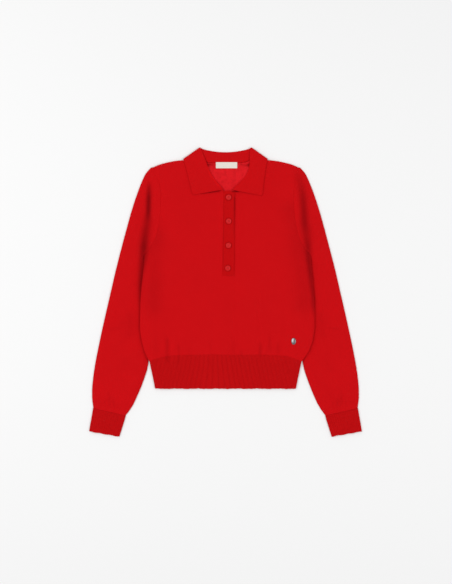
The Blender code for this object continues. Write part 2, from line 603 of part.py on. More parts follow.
def collar_station(seam, fold, edge, turn):
    """Points of the middle of the collar's wall across one station."""
    front_share = np.clip((FRONT_TURN - turn) / FRONT_TURN_OVER, 0, 1)
    outward = np.array([np.sign(fold[0]), OUTWARD_RISE]) / np.hypot(1, OUTWARD_RISE)
    to_seam, to_edge = seam - fold, edge - fold
    away = -(to_seam / np.linalg.norm(to_seam) + to_edge / np.linalg.norm(to_edge))
    away = away / np.linalg.norm(away)
    apex = fold - away * COLLAR_WALL / 2
    part = (COLLAR_WALL + GAP) * np.array([
        *(outward * np.sin(np.radians(turn))), np.cos(np.radians(turn))
    ])
    stand_front = front_bottom(*seam) + JERSEY / 2
    stand_z = COLLAR_LIFT + COLLAR_WALL / 2
    stand_z += (stand_front - stand_z) * front_share
    fall_back = COLLAR_WALL / 2
    at_fold = np.array([*(apex - away * COLLAR_ROLL), 0])

    def fall_height(x, y):
        lying = max(front_top(x, y) + COLLAR_WALL / 2 + LEAF_AIR, LEAF_HEIGHT)
        return fall_back + (lying - fall_back) * front_share

    fold_z = fall_height(*fold)
    stand_end = at_fold - part / 2
    stand_end[2] = stand_z
    fall_start = at_fold + part / 2
    fall_start[2] = fold_z
    points = [[*(seam + (stand_end[:2] - seam) * t), stand_z] for t in STAND_STEPS]
    points += [stand_end, [*apex, (stand_z + fold_z) / 2], fall_start]
    for t in FALL_STEPS:
        x, y = fall_start[:2] + (edge - fall_start[:2]) * t
        points.append([x, y, fall_height(x, y)])
    return np.array(points, float)


def make_collar(finish):
    """The strip's middle surface through its stations, thickened both ways."""
    rows = []
    for seam_x, seam_y, fold_x, fold_y, edge_x, edge_y, turn in COLLAR:
        seam, fold, edge = (seam_x, seam_y), (fold_x, fold_y), (edge_x, edge_y)
        rows.append(collar_station(*(np.array(p, float) for p in (seam, fold, edge)), turn))
    middle = np.array(rows)
    along = np.gradient(middle, axis=0)
    across = np.gradient(middle, axis=1)
    normal = np.cross(along, across)
    normal /= np.linalg.norm(normal, axis=-1, keepdims=True)
    half = normal * COLLAR_WALL / 2
    wall("collar", middle + half, middle - half, finish)


def make_plackets(finish):
    """The lower placket fills the slit, and the upper one turns out of it and lies over both."""
    y = BODY_ROWS["slit"][(BODY_ROWS["slit"] >= SLIT_FOOT - 0.1) & (BODY_ROWS["slit"] <= SLIT_TOP)]
    y = y[:, None].copy()
    left, right = neck_edge(LEFT, y), neck_edge(RIGHT, y)
    y[0] += GAP
    y[-1] = PLACKET_TOP
    lower = np.array([0.0, 0.5, 1.0])[None, :]
    lower_left = left + PLACKET_TURN + PLACKET_CLEAR
    x = lower_left + (right - GAP - lower_left) * lower
    bottom = front_bottom(x, y)
    wall("placket_under", grid(x, y, bottom + JERSEY), grid(x, y, bottom), finish)
    ends = np.array([0.0, 0.0, 0.0, 1.0, 1.0])[None, :]
    shift = (GAP, PLACKET_TURN / 2, PLACKET_TURN, -PLACKET_TURN, PLACKET_LAP)
    shift = np.array(shift)[None, :]
    rise = (JERSEY + GAP) * np.array([0.0, 0.7, 1.0, 1.0, 1.0])[None, :]
    x = left + (right - left) * ends + shift
    bottom = front_bottom(x, y) + rise
    wall("placket_over", grid(x, y, bottom + PLACKET_WALL), grid(x, y, bottom), finish)


def lay_on(made, spot, height, spread):
    """Place a small hard piece on the cloth, tilted as the cloth is.

    height gives the cloth's top at x and y, and spread is half the piece's width.
    """
    x, y = spot
    slope_x = (height(x + spread, y) - height(x - spread, y)) / (2 * spread)
    slope_y = (height(x, y + spread) - height(x, y - spread)) / (2 * spread)
    turn = np.linspace(0, 2 * np.pi, 13)
    a, b = spread * np.cos(turn), spread * np.sin(turn)
    a[-1] = b[-1] = 0
    z = np.max(height(x + a, y + b) - slope_x * a - slope_y * b) + HARD_GAP
    made.location = Vector((x, y, float(z))) * MM
    up = Vector((-float(slope_x), -float(slope_y), 1))
    made.rotation_mode = "QUATERNION"
    made.rotation_quaternion = Vector((0, 0, 1)).rotation_difference(up)


def turned(name, profile, finish):
    """A piece turned about Z from a profile of (radius, height), outer side top to bottom."""
    mesh = bpy.data.meshes.new(name)
    points = [(radius * MM, 0, height * MM) for radius, height in profile]
    mesh.from_pydata(points, [(i, i + 1) for i in range(len(points) - 1)], [])
    made = place(name, mesh, finish)
    spin = made.modifiers.new("turn", "SCREW")
    spin.steps = spin.render_steps = TURN_STEPS
    spin.use_merge_vertices = True
    spin.merge_threshold = 0.00001
    spin.use_smooth_shade = True
    return made


def make_buttons(finish):
    """Four sewn-through buttons with a raised rim and four holes."""
    profile = (
        (0, 1.3), (3.7, 1.3), (4.5, 2.1), (5.5, BUTTON_HEIGHT), (6.2, 1.5),
        (BUTTON_RADIUS, 0.9), (5.7, 0), (0, 0),
    )
    drill = bpy.data.meshes.new("button_holes")
    holes = bmesh.new()
    for a in (-HOLE_SPREAD, HOLE_SPREAD):
        for b in (-HOLE_SPREAD, HOLE_SPREAD):
            made = bmesh.ops.create_cone(
                holes, cap_ends=True, segments=6, radius1=HOLE_RADIUS * MM,
                radius2=HOLE_RADIUS * MM, depth=8 * MM,
            )
            bmesh.ops.translate(holes, verts=made["verts"], vec=Vector((a, b, 0)) * MM)
    holes.to_mesh(drill)
    holes.free()

    def height(x, y):
        return front_bottom(x, y) + JERSEY + GAP + PLACKET_WALL

    for number, spot in enumerate(BUTTONS, 1):
        button = turned(f"button_{number}", profile, finish)
        lay_on(button, spot, height, BUTTON_RADIUS * 0.8)
        cutter = bpy.data.objects.new(f"button_holes_{number}", drill)
        bpy.data.collections["cutters"].objects.link(cutter)
        cutter.parent = button
        cutter.display_type = "WIRE"
        cutter.hide_render = True
        cut = button.modifiers.new("holes", "BOOLEAN")
        cut.operation = "DIFFERENCE"
        cut.object = cutter


def make_stud(finish):
    """A small plain oval plate, domed, on the front near the hem."""
    dome = ((0, 1), (0.55, 0.9), (0.9, 0.55), (1, 0.125), (0.96, 0), (0, 0))
    profile = [(radius * STUD_HALF_WIDTH, height * STUD_HEIGHT) for radius, height in dome]
    stud = turned("metal_stud", profile, finish)
    stud.scale = (1, STUD_HALF_LENGTH / STUD_HALF_WIDTH, 1)
    lay_on(stud, STUD_SPOT, front_top, STUD_HALF_WIDTH)


def make_label(finish):
    """A blank neck label over the seam of the back and the collar's stand."""
    x = np.linspace(*LABEL_X, 5)[None, :]
    y = np.array(LABEL_Y)[:, None]
    on_back = COLLAR_LIFT + JERSEY + LABEL_GAP
    on_stand = COLLAR_LIFT + COLLAR_WALL + LABEL_GAP
    bottom = np.array([on_back, on_stand, on_stand])[:, None]
    wall("neck_label", grid(x, y, bottom + LABEL_WALL), grid(x, y, bottom), finish)


def main():
    for old in list(bpy.data.objects):
        bpy.data.objects.remove(old)
    for name in ("collared_sweater", "cutters"):
        bpy.context.scene.collection.children.link(bpy.data.collections.new(name))

    knit = material("red knit", (200, 15, 20), 0.9, sheen=0.3)
    rib = material("red rib knit", (185, 12, 14), 0.9, sheen=0.3)
    placket = material("red placket knit", (178, 9, 12), 0.9, sheen=0.2)
    button = material("red button plastic", (190, 30, 36), 0.35)
    tape = material("off-white label tape", (235, 235, 225), 0.8)
    metal = material("plain silver metal", (190, 190, 192), 0.3, metallic=1.0)

    make_front(knit)
    make_back(knit)
    for side in (LEFT, RIGHT):
        make_sleeve(side, knit)
        make_cuff(side, rib)
    make_waistband(rib)
    make_collar(rib)
    make_plackets(placket)
    make_buttons(button)
    make_label(tape)
    make_stud(metal)


main()
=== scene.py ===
# %% [markdown]
# # A knitted polo sweater, laid flat
#
# The sweater lies on its back, front up, and the camera looks straight down on it. The packed
# model is loaded first as a fixed frame: every panel, band and button is there at its real size
# and place. Each cell below then makes one piece as fine cloth over its plain solid.

# %% Load the frame
import json
from contextlib import contextmanager
from functools import cache, partial
from math import ceil, cos, exp, pi, radians, sin, tau

import bpy
import numpy as np
from mathutils import Matrix, Vector, noise
from mathutils.bvhtree import BVHTree

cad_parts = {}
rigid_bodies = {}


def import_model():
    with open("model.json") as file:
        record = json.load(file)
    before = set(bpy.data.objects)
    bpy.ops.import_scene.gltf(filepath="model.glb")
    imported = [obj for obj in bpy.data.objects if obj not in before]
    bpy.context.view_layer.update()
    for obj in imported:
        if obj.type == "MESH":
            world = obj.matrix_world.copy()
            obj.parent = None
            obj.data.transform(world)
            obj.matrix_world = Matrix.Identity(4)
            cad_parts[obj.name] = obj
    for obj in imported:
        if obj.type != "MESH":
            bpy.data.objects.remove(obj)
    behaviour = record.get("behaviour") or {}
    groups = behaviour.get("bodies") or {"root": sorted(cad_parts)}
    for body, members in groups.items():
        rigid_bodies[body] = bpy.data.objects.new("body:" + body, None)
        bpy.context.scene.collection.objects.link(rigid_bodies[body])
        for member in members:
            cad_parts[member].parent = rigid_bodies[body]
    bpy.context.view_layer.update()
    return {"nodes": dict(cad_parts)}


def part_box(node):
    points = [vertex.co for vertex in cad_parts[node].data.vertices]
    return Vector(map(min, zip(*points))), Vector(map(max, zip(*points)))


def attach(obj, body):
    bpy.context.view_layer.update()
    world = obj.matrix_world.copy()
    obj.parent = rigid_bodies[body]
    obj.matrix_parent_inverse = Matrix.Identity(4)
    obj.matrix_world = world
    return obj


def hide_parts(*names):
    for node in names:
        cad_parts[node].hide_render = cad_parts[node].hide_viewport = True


for old in list(bpy.data.objects):
    bpy.data.objects.remove(old)
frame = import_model()
MM = 0.001
print("nodes:", sorted(frame["nodes"]))

# %% [markdown]
# ## Small helpers
#
# Operators act on whatever is selected, so a helper selects just the piece in hand. Another adds
# one modifier and applies it at once, which keeps every finished piece a plain mesh. Two marks are
# kept on the points of cloth. One is shade painted into the cloth's colour there, where creases,
# folds and edges would lie in shadow, with light painted where it is negative. "under" is 0 on the
# top, 1 on the underside and 0.5 on a fold between them.


# %% Select, edit, apply
def take(*pieces):
    """Select these objects alone, and make the last one active."""
    bpy.ops.object.select_all(action="DESELECT")
    for piece in pieces:
        piece.select_set(True)
    bpy.context.view_layer.objects.active = pieces[-1]


@contextmanager
def editing(piece, kind="VERT"):
    """Edit mode on one piece, where its vertices or its faces are what is selected."""
    take(piece)
    bpy.context.tool_settings.mesh_select_mode = [kind == k for k in ("VERT", "EDGE", "FACE")]
    bpy.ops.object.mode_set(mode="EDIT")
    yield
    bpy.ops.object.mode_set(mode="OBJECT")


def call_it(name):
    """Name the object that was added last."""
    piece = bpy.context.object
    piece.name = piece.data.name = name
    return piece


def apply_modifier(piece, kind, **settings):
    """Add a modifier of this kind with these settings, and apply it."""
    take(piece)
    bpy.ops.object.modifier_add(type=kind)
    modifier = piece.modifiers[-1]
    for name, value in settings.items():
        setattr(modifier, name, value)
    bpy.ops.object.modifier_apply(modifier=modifier.name)


def smooth(piece, angle=50):
    take(piece)
    bpy.ops.object.shade_smooth_by_angle(angle=radians(angle))


# %% Read and write meshes
def read(items, name, width=1, kind=np.float32):
    """One property of all vertices, edges or corners, in rows where it is wide."""
    values = np.empty(len(items) * width, kind)
    items.foreach_get(name, values)
    return values.reshape(-1, width) if width > 1 else values


def points_of(piece):
    """Every vertex of a piece, as rows of x, y and z."""
    return read(piece.data.vertices, "co", 3).astype(float)


def set_points(piece, points):
    piece.data.vertices.foreach_set("co", points.astype(np.float32).ravel())
    piece.data.update()


def read_mark(piece, name):
    """A number for every vertex, kept on the mesh under a name. It starts at 0."""
    marks = piece.data.attributes.get(name) or piece.data.attributes.new(name, "FLOAT", "POINT")
    return read(marks.data, "value").astype(float)


def set_mark(piece, name, values):
    read_mark(piece, name)
    piece.data.attributes[name].data.foreach_set("value", np.asarray(values, np.float32))


def add_painted_shade(piece, shade):
    """Add painted shade to each point's colour; a negative amount paints light."""
    set_mark(piece, "painted_shade", read_mark(piece, "painted_shade") + shade)


def select_faces(piece, chosen):
    """Select these faces alone, as edit mode on faces finds them."""
    for items in (piece.data.vertices, piece.data.edges):
        items.foreach_set("select", np.zeros(len(items), bool))
    piece.data.polygons.foreach_set("select", np.asarray(chosen, bool))


def ease(t):
    """0 below t = 0, 1 above t = 1, and a smooth rise between them."""
    t = np.clip(t, 0, 1)
    return t * t * (3 - 2 * t)


# %% [markdown]
# ## Measuring the solids
#
# A straight line sent down onto a solid says how high it is there, or that it isn't there at all.
# Halving a distance again and again between a point inside its outline and one outside finds the
# outline itself. With these two, a sheet of cloth can be cut and laid on any solid.

# %% Height and outline of a solid
ABOVE, BELOW = 0.1, -0.1


@cache
def tree(node):
    mesh = frame["nodes"][node].data
    return BVHTree.FromPolygons([v.co for v in mesh.vertices],
                                [p.vertices for p in mesh.polygons])


def height(node, x, y, under=False):
    """Height of a solid's top or underside at a place, or None beside it."""
    start, way = (BELOW, 1) if under else (ABOVE, -1)
    hit = tree(node).ray_cast(Vector((x, y, start)), Vector((0, 0, way)))[0]
    return hit and hit.z


def outline_point(node, start, way, reach):
    """The place where a solid's outline is met, going from a start inside it, within reach."""
    near, far = 0.0, reach
    while far - near > 0.02 * MM:
        middle = (near + far) / 2
        x, y = start + way * middle
        if height(node, x, y) is None:
            far = middle
        else:
            near = middle
    return start + way * near


COMPASS = [np.array((cos(a), sin(a))) for a in np.linspace(0, tau, 9)[:-1]]


def near_height(node, x, y, inward, under=False):
    """Height at a place, or as near it as there is one where it lies on the outline."""
    inward = inward / max(np.linalg.norm(inward), 1e-9)
    for pull in (0.0, 0.3, 0.8, 1.5, 2.5, 4.0):
        for way in (inward, *COMPASS):
            found = height(node, *((x, y) + way * pull * MM), under=under)
            if found is not None:
                return found
            if not pull:
                break
    raise ValueError(f"nothing of {node} near {x:.4f}, {y:.4f}")


# %% [markdown]
# ## The camera
#
# The sweater was photographed from straight above. 584 picture rows span 1.4 m at the floor, so a
# lens of 77 mm from 3 m up frames it the same way.

# %% Camera
PICTURE_HEIGHT = 1.4016  # what the long side of the picture spans on the floor
CAMERA_HEIGHT = 3.0
SENSOR = 36.0
PICTURE_MIDDLE_X = 0.0012

camera_data = bpy.data.cameras.new("camera")
camera_data.sensor_width = SENSOR
camera_data.lens = SENSOR * CAMERA_HEIGHT / PICTURE_HEIGHT
camera = bpy.data.objects.new("camera", camera_data)
camera.location = (PICTURE_MIDDLE_X, 0, CAMERA_HEIGHT)
bpy.context.scene.collection.objects.link(camera)
bpy.context.scene.camera = camera
print("lens", round(camera_data.lens, 1), "mm")

# %% [markdown]
# ## Knit as a material
#
# Plain knit is columns of small V shapes. Drawing each loop as geometry would take millions of
# faces, so the loops are a height pattern that bump reads. The pattern runs on each piece's own UV
# map, which is in metres along and across the yarn columns, so loops keep their real size on every
# piece and turn with the sleeves. The loop pattern is one node group. The other gives the broad
# patches of tone and paints shade into the gaps between loops and along creases, with light where
# the mark is negative; every knitted finish uses both.


# %% Small tools for node trees
def give(tree_, socket, value):
    """Set an input to a value, or link it to a socket."""
    if isinstance(value, bpy.types.NodeSocket):
        tree_.links.new(value, socket)
    else:
        socket.default_value = value


def feed(tree_, node, **values):
    """Give a node's inputs their values or sockets. An underscore stands for a space."""
    for name, value in values.items():
        give(tree_, node.inputs[name.replace("_", " ")], value)
    return node


def add_node(tree_, kind, settings=(), **values):
    """A node with these settings, and these values or sockets on its inputs."""
    node = tree_.nodes.new("ShaderNode" + kind)
    for name, value in dict(settings).items():
        setattr(node, name, value)
    return feed(tree_, node, **values)


def math_node(tree_, operation, *values):
    node = add_node(tree_, "Math", {"operation": operation})
    for socket, value in zip(node.inputs, values):
        give(tree_, socket, value)
    return node.outputs[0]


def mix_colors(tree_, share, first, second):
    mix = add_node(tree_, "Mix", {"data_type": "RGBA"}, Factor=share, A=first, B=second)
    return mix.outputs["Result"]


def add_relief(tree_, shader, height_, depth):
    """Bump of this depth in millimetres, from a height of 0 to 1."""
    bump = add_node(tree_, "Bump", Height=height_, Distance=depth * MM)
    feed(tree_, shader, Normal=bump.outputs["Normal"])


def new_material(name):
    """A material, its node tree and its shader."""
    material = bpy.data.materials.new(name)
    material.use_nodes = True
    return material, material.node_tree, material.node_tree.nodes["Principled BSDF"]


def new_group(name, inputs, outputs):
    """A shader node group. inputs is (name, socket type, start value)."""
    group = bpy.data.node_groups.new(name, "ShaderNodeTree")
    for title, kind, start in inputs:
        socket = group.interface.new_socket(title, in_out="INPUT", socket_type=kind)
        if start is not None:
            socket.default_value = start
    for title, kind in outputs:
        group.interface.new_socket(title, in_out="OUTPUT", socket_type=kind)
    given = group.nodes.new("NodeGroupInput").outputs
    made = group.nodes.new("NodeGroupOutput").inputs
    return group, given, made


# %% Group: loops of plain knit
VECTOR, FLOAT, COLOR = "NodeSocketVector", "NodeSocketFloat", "NodeSocketColor"
LEG_RISE = 1.4  # rows that a leg of the V would climb over a whole column


def make_loops_group():
    """Loop height from 0 in the gaps to 1 on the yarn."""
    group, given, made = new_group(
        "Knit loops",
        [("Place", VECTOR, None), ("Column width", FLOAT, 0.0016), ("Row height", FLOAT, 0.0012)],
        [("Height", FLOAT)],
    )
    do = partial(math_node, group)
    place = add_node(group, "SeparateXYZ", Vector=given["Place"]).outputs
    column = do("DIVIDE", place["X"], given["Column width"])
    row = do("DIVIDE", place["Y"], given["Row height"])
    off_middle = do("ABSOLUTE", do("SUBTRACT", do("FRACT", column), 0.5))
    slanted = do("SUBTRACT", row, do("MULTIPLY", off_middle, LEG_RISE))
    strand = do("SINE", do("MULTIPLY", do("FRACT", slanted), pi))
    leg = do("SINE", do("MULTIPLY", off_middle, tau))
    give(group, made["Height"], do("MULTIPLY", strand, leg))
    return group


loops_group = make_loops_group()
print("made", loops_group.name)


# %% Group: tone of cloth
def make_tone_group():
    """The cloth's colour in broad soft patches, with painted shade in creases and between loops."""
    group, given, made = new_group(
        "Cloth tone",
        [("Yarn", COLOR, (0.5, 0.005, 0.007, 1)), ("Shade", COLOR, (0.2, 0.0, 0.002, 1)),
         ("Loops", FLOAT, 0.5), ("Loop contrast", FLOAT, 0.25), ("Patchiness", FLOAT, 0.15),
         ("Patch size", FLOAT, 0.07)],
        [("Color", COLOR)],
    )
    do = partial(math_node, group)
    patches = add_node(group, "TexNoise", Vector=add_node(group, "TexCoord").outputs["Object"],
                       Scale=do("DIVIDE", 1.0, given["Patch size"]), Detail=3.0)
    uneven = do("MULTIPLY", do("SUBTRACT", patches.outputs["Fac"], 0.5), given["Patchiness"])
    # painted shade in the gaps between loops, which leaves the yarn paler
    gaps = do("MULTIPLY", do("SUBTRACT", 1.0, given["Loops"]), given["Loop contrast"])
    # painted shade from the mark on the points; a negative mark paints light
    painted_shade = add_node(group, "Attribute", {"attribute_name": "painted_shade"}).outputs["Fac"]
    dark = add_node(group, "Clamp", Value=do("ADD", do("ADD", uneven, gaps), painted_shade)).outputs[0]
    give(group, made["Color"], mix_colors(group, dark, given["Yarn"], given["Shade"]))
    return group


tone_group = make_tone_group()
print("made", tone_group.name)

# %% [markdown]
# ## The red knits
#
# One function makes every knitted finish from the two groups. Body, bands, collar and the inside
# of the back differ in red, in loop size and in how deep the loops are. A dyed wool has almost no
# white gleam, so the specular level is low and a red sheen stands for the nap.


# %% Knit materials
def srgb(red, green, blue):
    """A screen colour, 0 to 255, as the linear colour that shaders use."""
    return tuple(((c / 255 + 0.055) / 1.055) ** 2.4 if c > 10 else c / 255 / 12.92
                 for c in (red, green, blue)) + (1.0,)


def make_knit(name, yarn, shade, column, row, depth, sheen=0.15, patchiness=0.08, patch=70):
    """A knitted finish. Sizes of a loop and of the patches of tone are in millimetres."""
    material, tree_, shader = new_material(name)
    place = add_node(tree_, "UVMap", {"uv_map": "cloth"}).outputs[0]
    loops = add_node(tree_, "Group", {"node_tree": loops_group}, Place=place,
                     Column_width=column * MM, Row_height=row * MM).outputs["Height"]
    tone = add_node(tree_, "Group", {"node_tree": tone_group}, Yarn=srgb(*yarn),
                    Shade=srgb(*shade), Loops=loops, Patchiness=patchiness, Patch_size=patch * MM)
    feed(tree_, shader, Base_Color=tone.outputs["Color"], Roughness=0.9, Specular_IOR_Level=0.05,
         Sheen_Weight=sheen, Sheen_Roughness=0.5, Sheen_Tint=srgb(255, 44, 46))
    add_relief(tree_, shader, loops, depth)
    return material


# the second red of each knit is the dark that painted shade mixes to
body_knit = make_knit("body knit", (208, 12, 18), (92, 0, 4), 1.6, 1.25, 0.25)
# the inside's paler red is partly painted light, for the light its fuzz catches
inside_knit = make_knit("inside knit", (225, 28, 36), (150, 6, 10), 1.6, 1.25, 0.3, 0.3, 0.75, 7)
rib_knit = make_knit("rib knit", (199, 11, 15), (92, 0, 3), 1.1, 1.1, 0.25)
collar_knit = make_knit("collar knit", (205, 12, 17), (92, 0, 4), 1.3, 1.0, 0.2)
placket_knit = make_knit("placket knit", (198, 9, 13), (90, 0, 3), 1.2, 1.0, 0.2)
print("knits:", [m.name for m in bpy.data.materials if m.users == 0])

# %% [markdown]
# ## Laying cloth on a solid
#
# Each flat panel starts as a grid, turned so that its columns run as the yarn columns do. What
# lies beside the solid is cut off, the rim is drawn out to the solid's outline, and the grid is
# lowered onto it. The same function serves front, back, plackets and label.


# %% Cut a grid to a solid's outline
def around(mask):
    """Where a place or one of its eight neighbours is marked."""
    wide = np.pad(mask, 1)
    rows, columns = mask.shape
    shifted = [wide[a:a + rows, b:b + columns] for a in range(3) for b in range(3)]
    return np.any(shifted, axis=0)


def add_grid(name, middle, columns, rows, step, lean):
    """A level grid of square cells."""
    bpy.ops.mesh.primitive_grid_add(x_subdivisions=columns, y_subdivisions=rows, size=1,
                                    location=middle, rotation=(0, 0, lean))
    piece = call_it(name)
    piece.scale = (columns * step, rows * step, 1)
    bpy.ops.object.transform_apply()
    return piece


def lay_uv(piece, lean=0.0):
    """A UV map in metres, seen from above and turned as the yarn columns lean."""
    mesh = piece.data
    layer = mesh.uv_layers[0] if mesh.uv_layers else mesh.uv_layers.new()
    layer.name = "cloth"
    x, y, _ = points_of(piece)[read(mesh.loops, "vertex_index", kind=np.int32)].T
    uv = np.stack([x * cos(lean) + y * sin(lean), y * cos(lean) - x * sin(lean)], axis=1)
    layer.uv.foreach_set("vector", uv.astype(np.float32).ravel())


CELL_REACH = 0.45  # share of a cell round a point that has to lie on the solid, to keep it


def cut_grid(piece, node, step, columns, rows, proud):
    """Cut a grid to a node's outline and draw its rim out to it, or proud of it."""
    place = points_of(piece)[:, :2].reshape(rows + 1, columns + 1, 2)
    inside = np.array([[height(node, *p) is not None for p in row] for row in place])
    deep = inside.copy()
    for spot in zip(*np.nonzero(inside & around(~inside))):
        deep[spot] = all(height(node, *(place[spot] + CELL_REACH * step * way)) is not None
                         for way in COMPASS)
    drawn = place.copy()
    for i, j in zip(*np.nonzero(around(deep) & ~deep)):
        block = (slice(max(i - 1, 0), i + 2), slice(max(j - 1, 0), j + 2))
        start = place[block][deep[block]].mean(axis=0)
        way = (place[i, j] - start) / np.linalg.norm(place[i, j] - start)
        drawn[i, j] = outline_point(node, start, way, 4 * step) + way * proud
    flat = np.zeros((drawn.size // 2, 3))
    flat[:, :2] = drawn.reshape(-1, 2)
    set_points(piece, flat)
    corners = read(piece.data.loops, "vertex_index", kind=np.int32).reshape(-1, 4)
    select_faces(piece, ~deep.ravel()[corners].any(axis=1))
    with editing(piece, "FACE"):
        bpy.ops.mesh.delete(type="FACE")


def lower_onto(piece, node):
    """Drop a flat sheet onto a node's top. A point's neighbours say which way is inward."""
    points = points_of(piece)
    ends = read(piece.data.edges, "vertices", 2, np.int32)
    total, count = np.zeros((len(points), 2)), np.zeros(len(points))
    for a, b in (ends.T, ends.T[::-1]):
        np.add.at(total, a, points[b, :2])
        np.add.at(count, a, 1)
    inward = total / count[:, None] - points[:, :2]
    points[:, 2] = [near_height(node, *place, way) for place, way in zip(points[:, :2], inward)]
    set_points(piece, points)


def lay_cloth(name, node, step, lean=0.0, proud=0.3 * MM):
    """A grid leaned along a node, cut to its outline and lowered onto its top."""
    low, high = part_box(node)
    middle = (low + high) / 2
    turn = Matrix.Rotation(-lean, 2)
    corners = [turn @ Vector((x - middle.x, y - middle.y))
               for x in (low.x, high.x) for y in (low.y, high.y)]
    columns, rows = (2 * ceil(max(abs(c[i]) for c in corners) / step) + 2 for i in (0, 1))
    piece = add_grid(name, (middle.x, middle.y, 0), columns, rows, step, lean)
    cut_grid(piece, node, step, columns, rows, proud)
    lay_uv(piece, lean)
    lower_onto(piece, node)
    print(name, "has", len(piece.data.polygons), "cells")
    return piece


# %% [markdown]
# ## Folds
#
# A garment laid flat by hand keeps soft troughs where its cloth was gathered, and small uneven
# rises elsewhere. Each fold here is listed: a line of points, a width and a depth. How dark it
# looks is painted shade, a mark on the points which the tone group reads; a negative mark paints
# light.

# %% Press folds into cloth
PLEAT_SINK = 0.6  # millimetres, for a shade of one


def distance_to_line(piece, line):
    """Each point's distance to a line, how far along it that is, and the line's stations."""
    points = points_of(piece)[:, :2] / MM
    line = np.array(line, float)
    stations = np.append(0, np.cumsum(np.hypot(*np.diff(line, axis=0).T)))
    best, along = np.full(len(points), np.inf), np.zeros(len(points))
    for start, end, passed in zip(line, line[1:], stations):
        way = end - start
        length = np.hypot(*way)
        t = np.clip((points - start) @ way / length**2, 0, 1)
        gap = np.hypot(*(points - start - t[:, None] * way).T)
        nearer = gap < best
        best[nearer], along[nearer] = gap[nearer], passed + t[nearer] * length
    return best, along, stations


def sink(piece, share, depth, shade, under=False):
    """Sink the top or underside by a share of a depth in millimetres, and paint shade on it."""
    below = read_mark(piece, "under")
    share = share * (below if under else 1 - below)
    points = points_of(piece)
    points[:, 2] -= depth * MM * share
    set_points(piece, points)
    add_painted_shade(piece, shade * share)


def press(piece, line, width, depth, shade, fade, under=False):
    """Sink cloth along a line given in millimetres and paint shade there. A negative depth lifts a
    ridge, and a negative shade paints light.

    fade is the length over which each end dies away.
    """
    gap, along, stations = distance_to_line(piece, line)
    ends = ease(along / fade) * ease((stations[-1] - along) / fade)
    sink(piece, np.exp(-((gap / width) ** 2)) * ends, depth, shade, under)


def press_all(piece, folds, fade, side=1, under=False):
    """Press a table of folds. A row is a line's points, then its width, depth and painted shade."""
    for *line, width, depth, shade in folds:
        press(piece, [(side * x, y) for x, y in line], width, depth, shade, fade, under)


def press_pleat(piece, rows, side, shade_column):
    """Paint shade and slightly sink cloth along a pleat whose width and shade change on the way."""
    rows = np.array(rows, float) * (side, 1, 1, 1, 1)
    gap, along, stations = distance_to_line(piece, rows[:, :2])
    width, shade = (np.interp(along, stations, rows[:, k]) for k in (2, shade_column))
    sink(piece, np.exp(-((gap / width) ** 2)) * shade, PLEAT_SINK, 1)


# %% Finish cloth
def refine(piece, low, high, cuts):
    """Cut the cells between two corners finer, given in millimetres."""
    points = points_of(piece)[:, :2] / MM
    piece.data.vertices.foreach_set("select", np.all((points > low) & (points < high), axis=1))
    with editing(piece):
        bpy.ops.mesh.subdivide(number_cuts=cuts)


def even_out(piece, rounds):
    """Smooth heights alone, so that the flat facets of a plain solid don't show in the cloth."""
    apply_modifier(piece, "SMOOTH", factor=0.5, iterations=rounds, use_x=False, use_y=False)


def unsettle(piece, size, depth, seed):
    """The slight unevenness of soft cloth, as smooth noise of a size and depth in millimetres."""
    points = points_of(piece)
    rise = [noise.noise(Vector(p) / (size * MM) + Vector((seed, 0, 0))) for p in points]
    points[:, 2] += depth * MM * np.array(rise) * (1 - read_mark(piece, "under"))
    set_points(piece, points)


def give_wall(piece, thickness, rounding=0.35):
    """Turn a sheet into a wall of cloth below it, in millimetres, with soft edges."""
    apply_modifier(piece, "SOLIDIFY", thickness=thickness * MM, offset=-1)
    apply_modifier(piece, "BEVEL", width=rounding * MM, segments=2, limit_method="ANGLE",
                   angle_limit=radians(60))
    smooth(piece)


def dress(piece, nodes, slot, *materials):
    """Give a piece its finish, and let it stand for its solids."""
    for material in materials:
        piece.data.materials.append(material)
    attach(piece, "root")
    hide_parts(*nodes.split())


# %% [markdown]
# ## The front
#
# The front panel is plain knit with a slit for the placket. Its cloth is smooth in the middle,
# gathered in short troughs where the tighter waistband draws it in, and slightly raised beside the
# placket, where the seam allowance lies under it.

# %% Folds of the front
ON_FRONT, ON_SLEEVE, ON_PLACKET = 3, 4, 4  # columns of the tables of pleats
# shade painted in a dark band along the pleat, where front and sleeve meet
PLEATS = {  # from the shoulder down along the body: x, y, width, shade on front and sleeve
    -1: [(183.4, 268, 5, 0, 0), (183.6, 252, 6, 0.34, 0.34), (184, 226, 6.5, 0.62, 0.62),
         (184.8, 194, 6.3, 0.62, 0.62), (187.5, 166, 10, 0.4, 0.4), (192.5, 137, 11, 0.46, 0.46),
         (195.5, 108, 10.5, 0.58, 0.6), (198, 79, 9.4, 0.55, 0.52), (201, 50, 7.5, 0.35, 0.56),
         (203.2, 22, 7, 0.12, 0.52), (204.7, -7, 6, 0.1, 0.4), (205.7, -36, 4.3, 0, 0.22),
         (206.2, -88, 4.2, 0, 0.18), (202.5, -115, 4.2, 0, 0.16), (196.3, -139, 4, 0, 0.16),
         (189.6, -156, 4, 0, 0.16), (181.6, -172, 4, 0, 0.12)],
    1: [(168, 302, 12, 0, 0), (174.5, 281, 12, 0.13, 0.13), (182.4, 252, 11, 0.27, 0.27),
        (186, 223, 9.5, 0.42, 0.42), (188.2, 194, 9.5, 0.44, 0.44), (189.5, 166, 11, 0.45, 0.45),
        (194, 137, 12.5, 0.34, 0.34), (197.5, 108, 9.4, 0.46, 0.46), (199.5, 79, 8.2, 0.42, 0.36),
        (203.5, 50, 7.5, 0.45, 0.32), (206.5, 22, 6.5, 0.4, 0.34), (209.8, -7, 5.5, 0.4, 0.3),
        (211.5, -36, 6, 0.3, 0.22), (213.5, -65, 5, 0.1, 0.08), (214, -88, 5, 0.15, 0.1),
        (210.6, -115, 4.5, 0.06, 0.1), (202.6, -139, 4, 0, 0.12), (192.2, -156, 4, 0, 0.12),
        (183.2, -172, 4, 0, 0.12)],
}
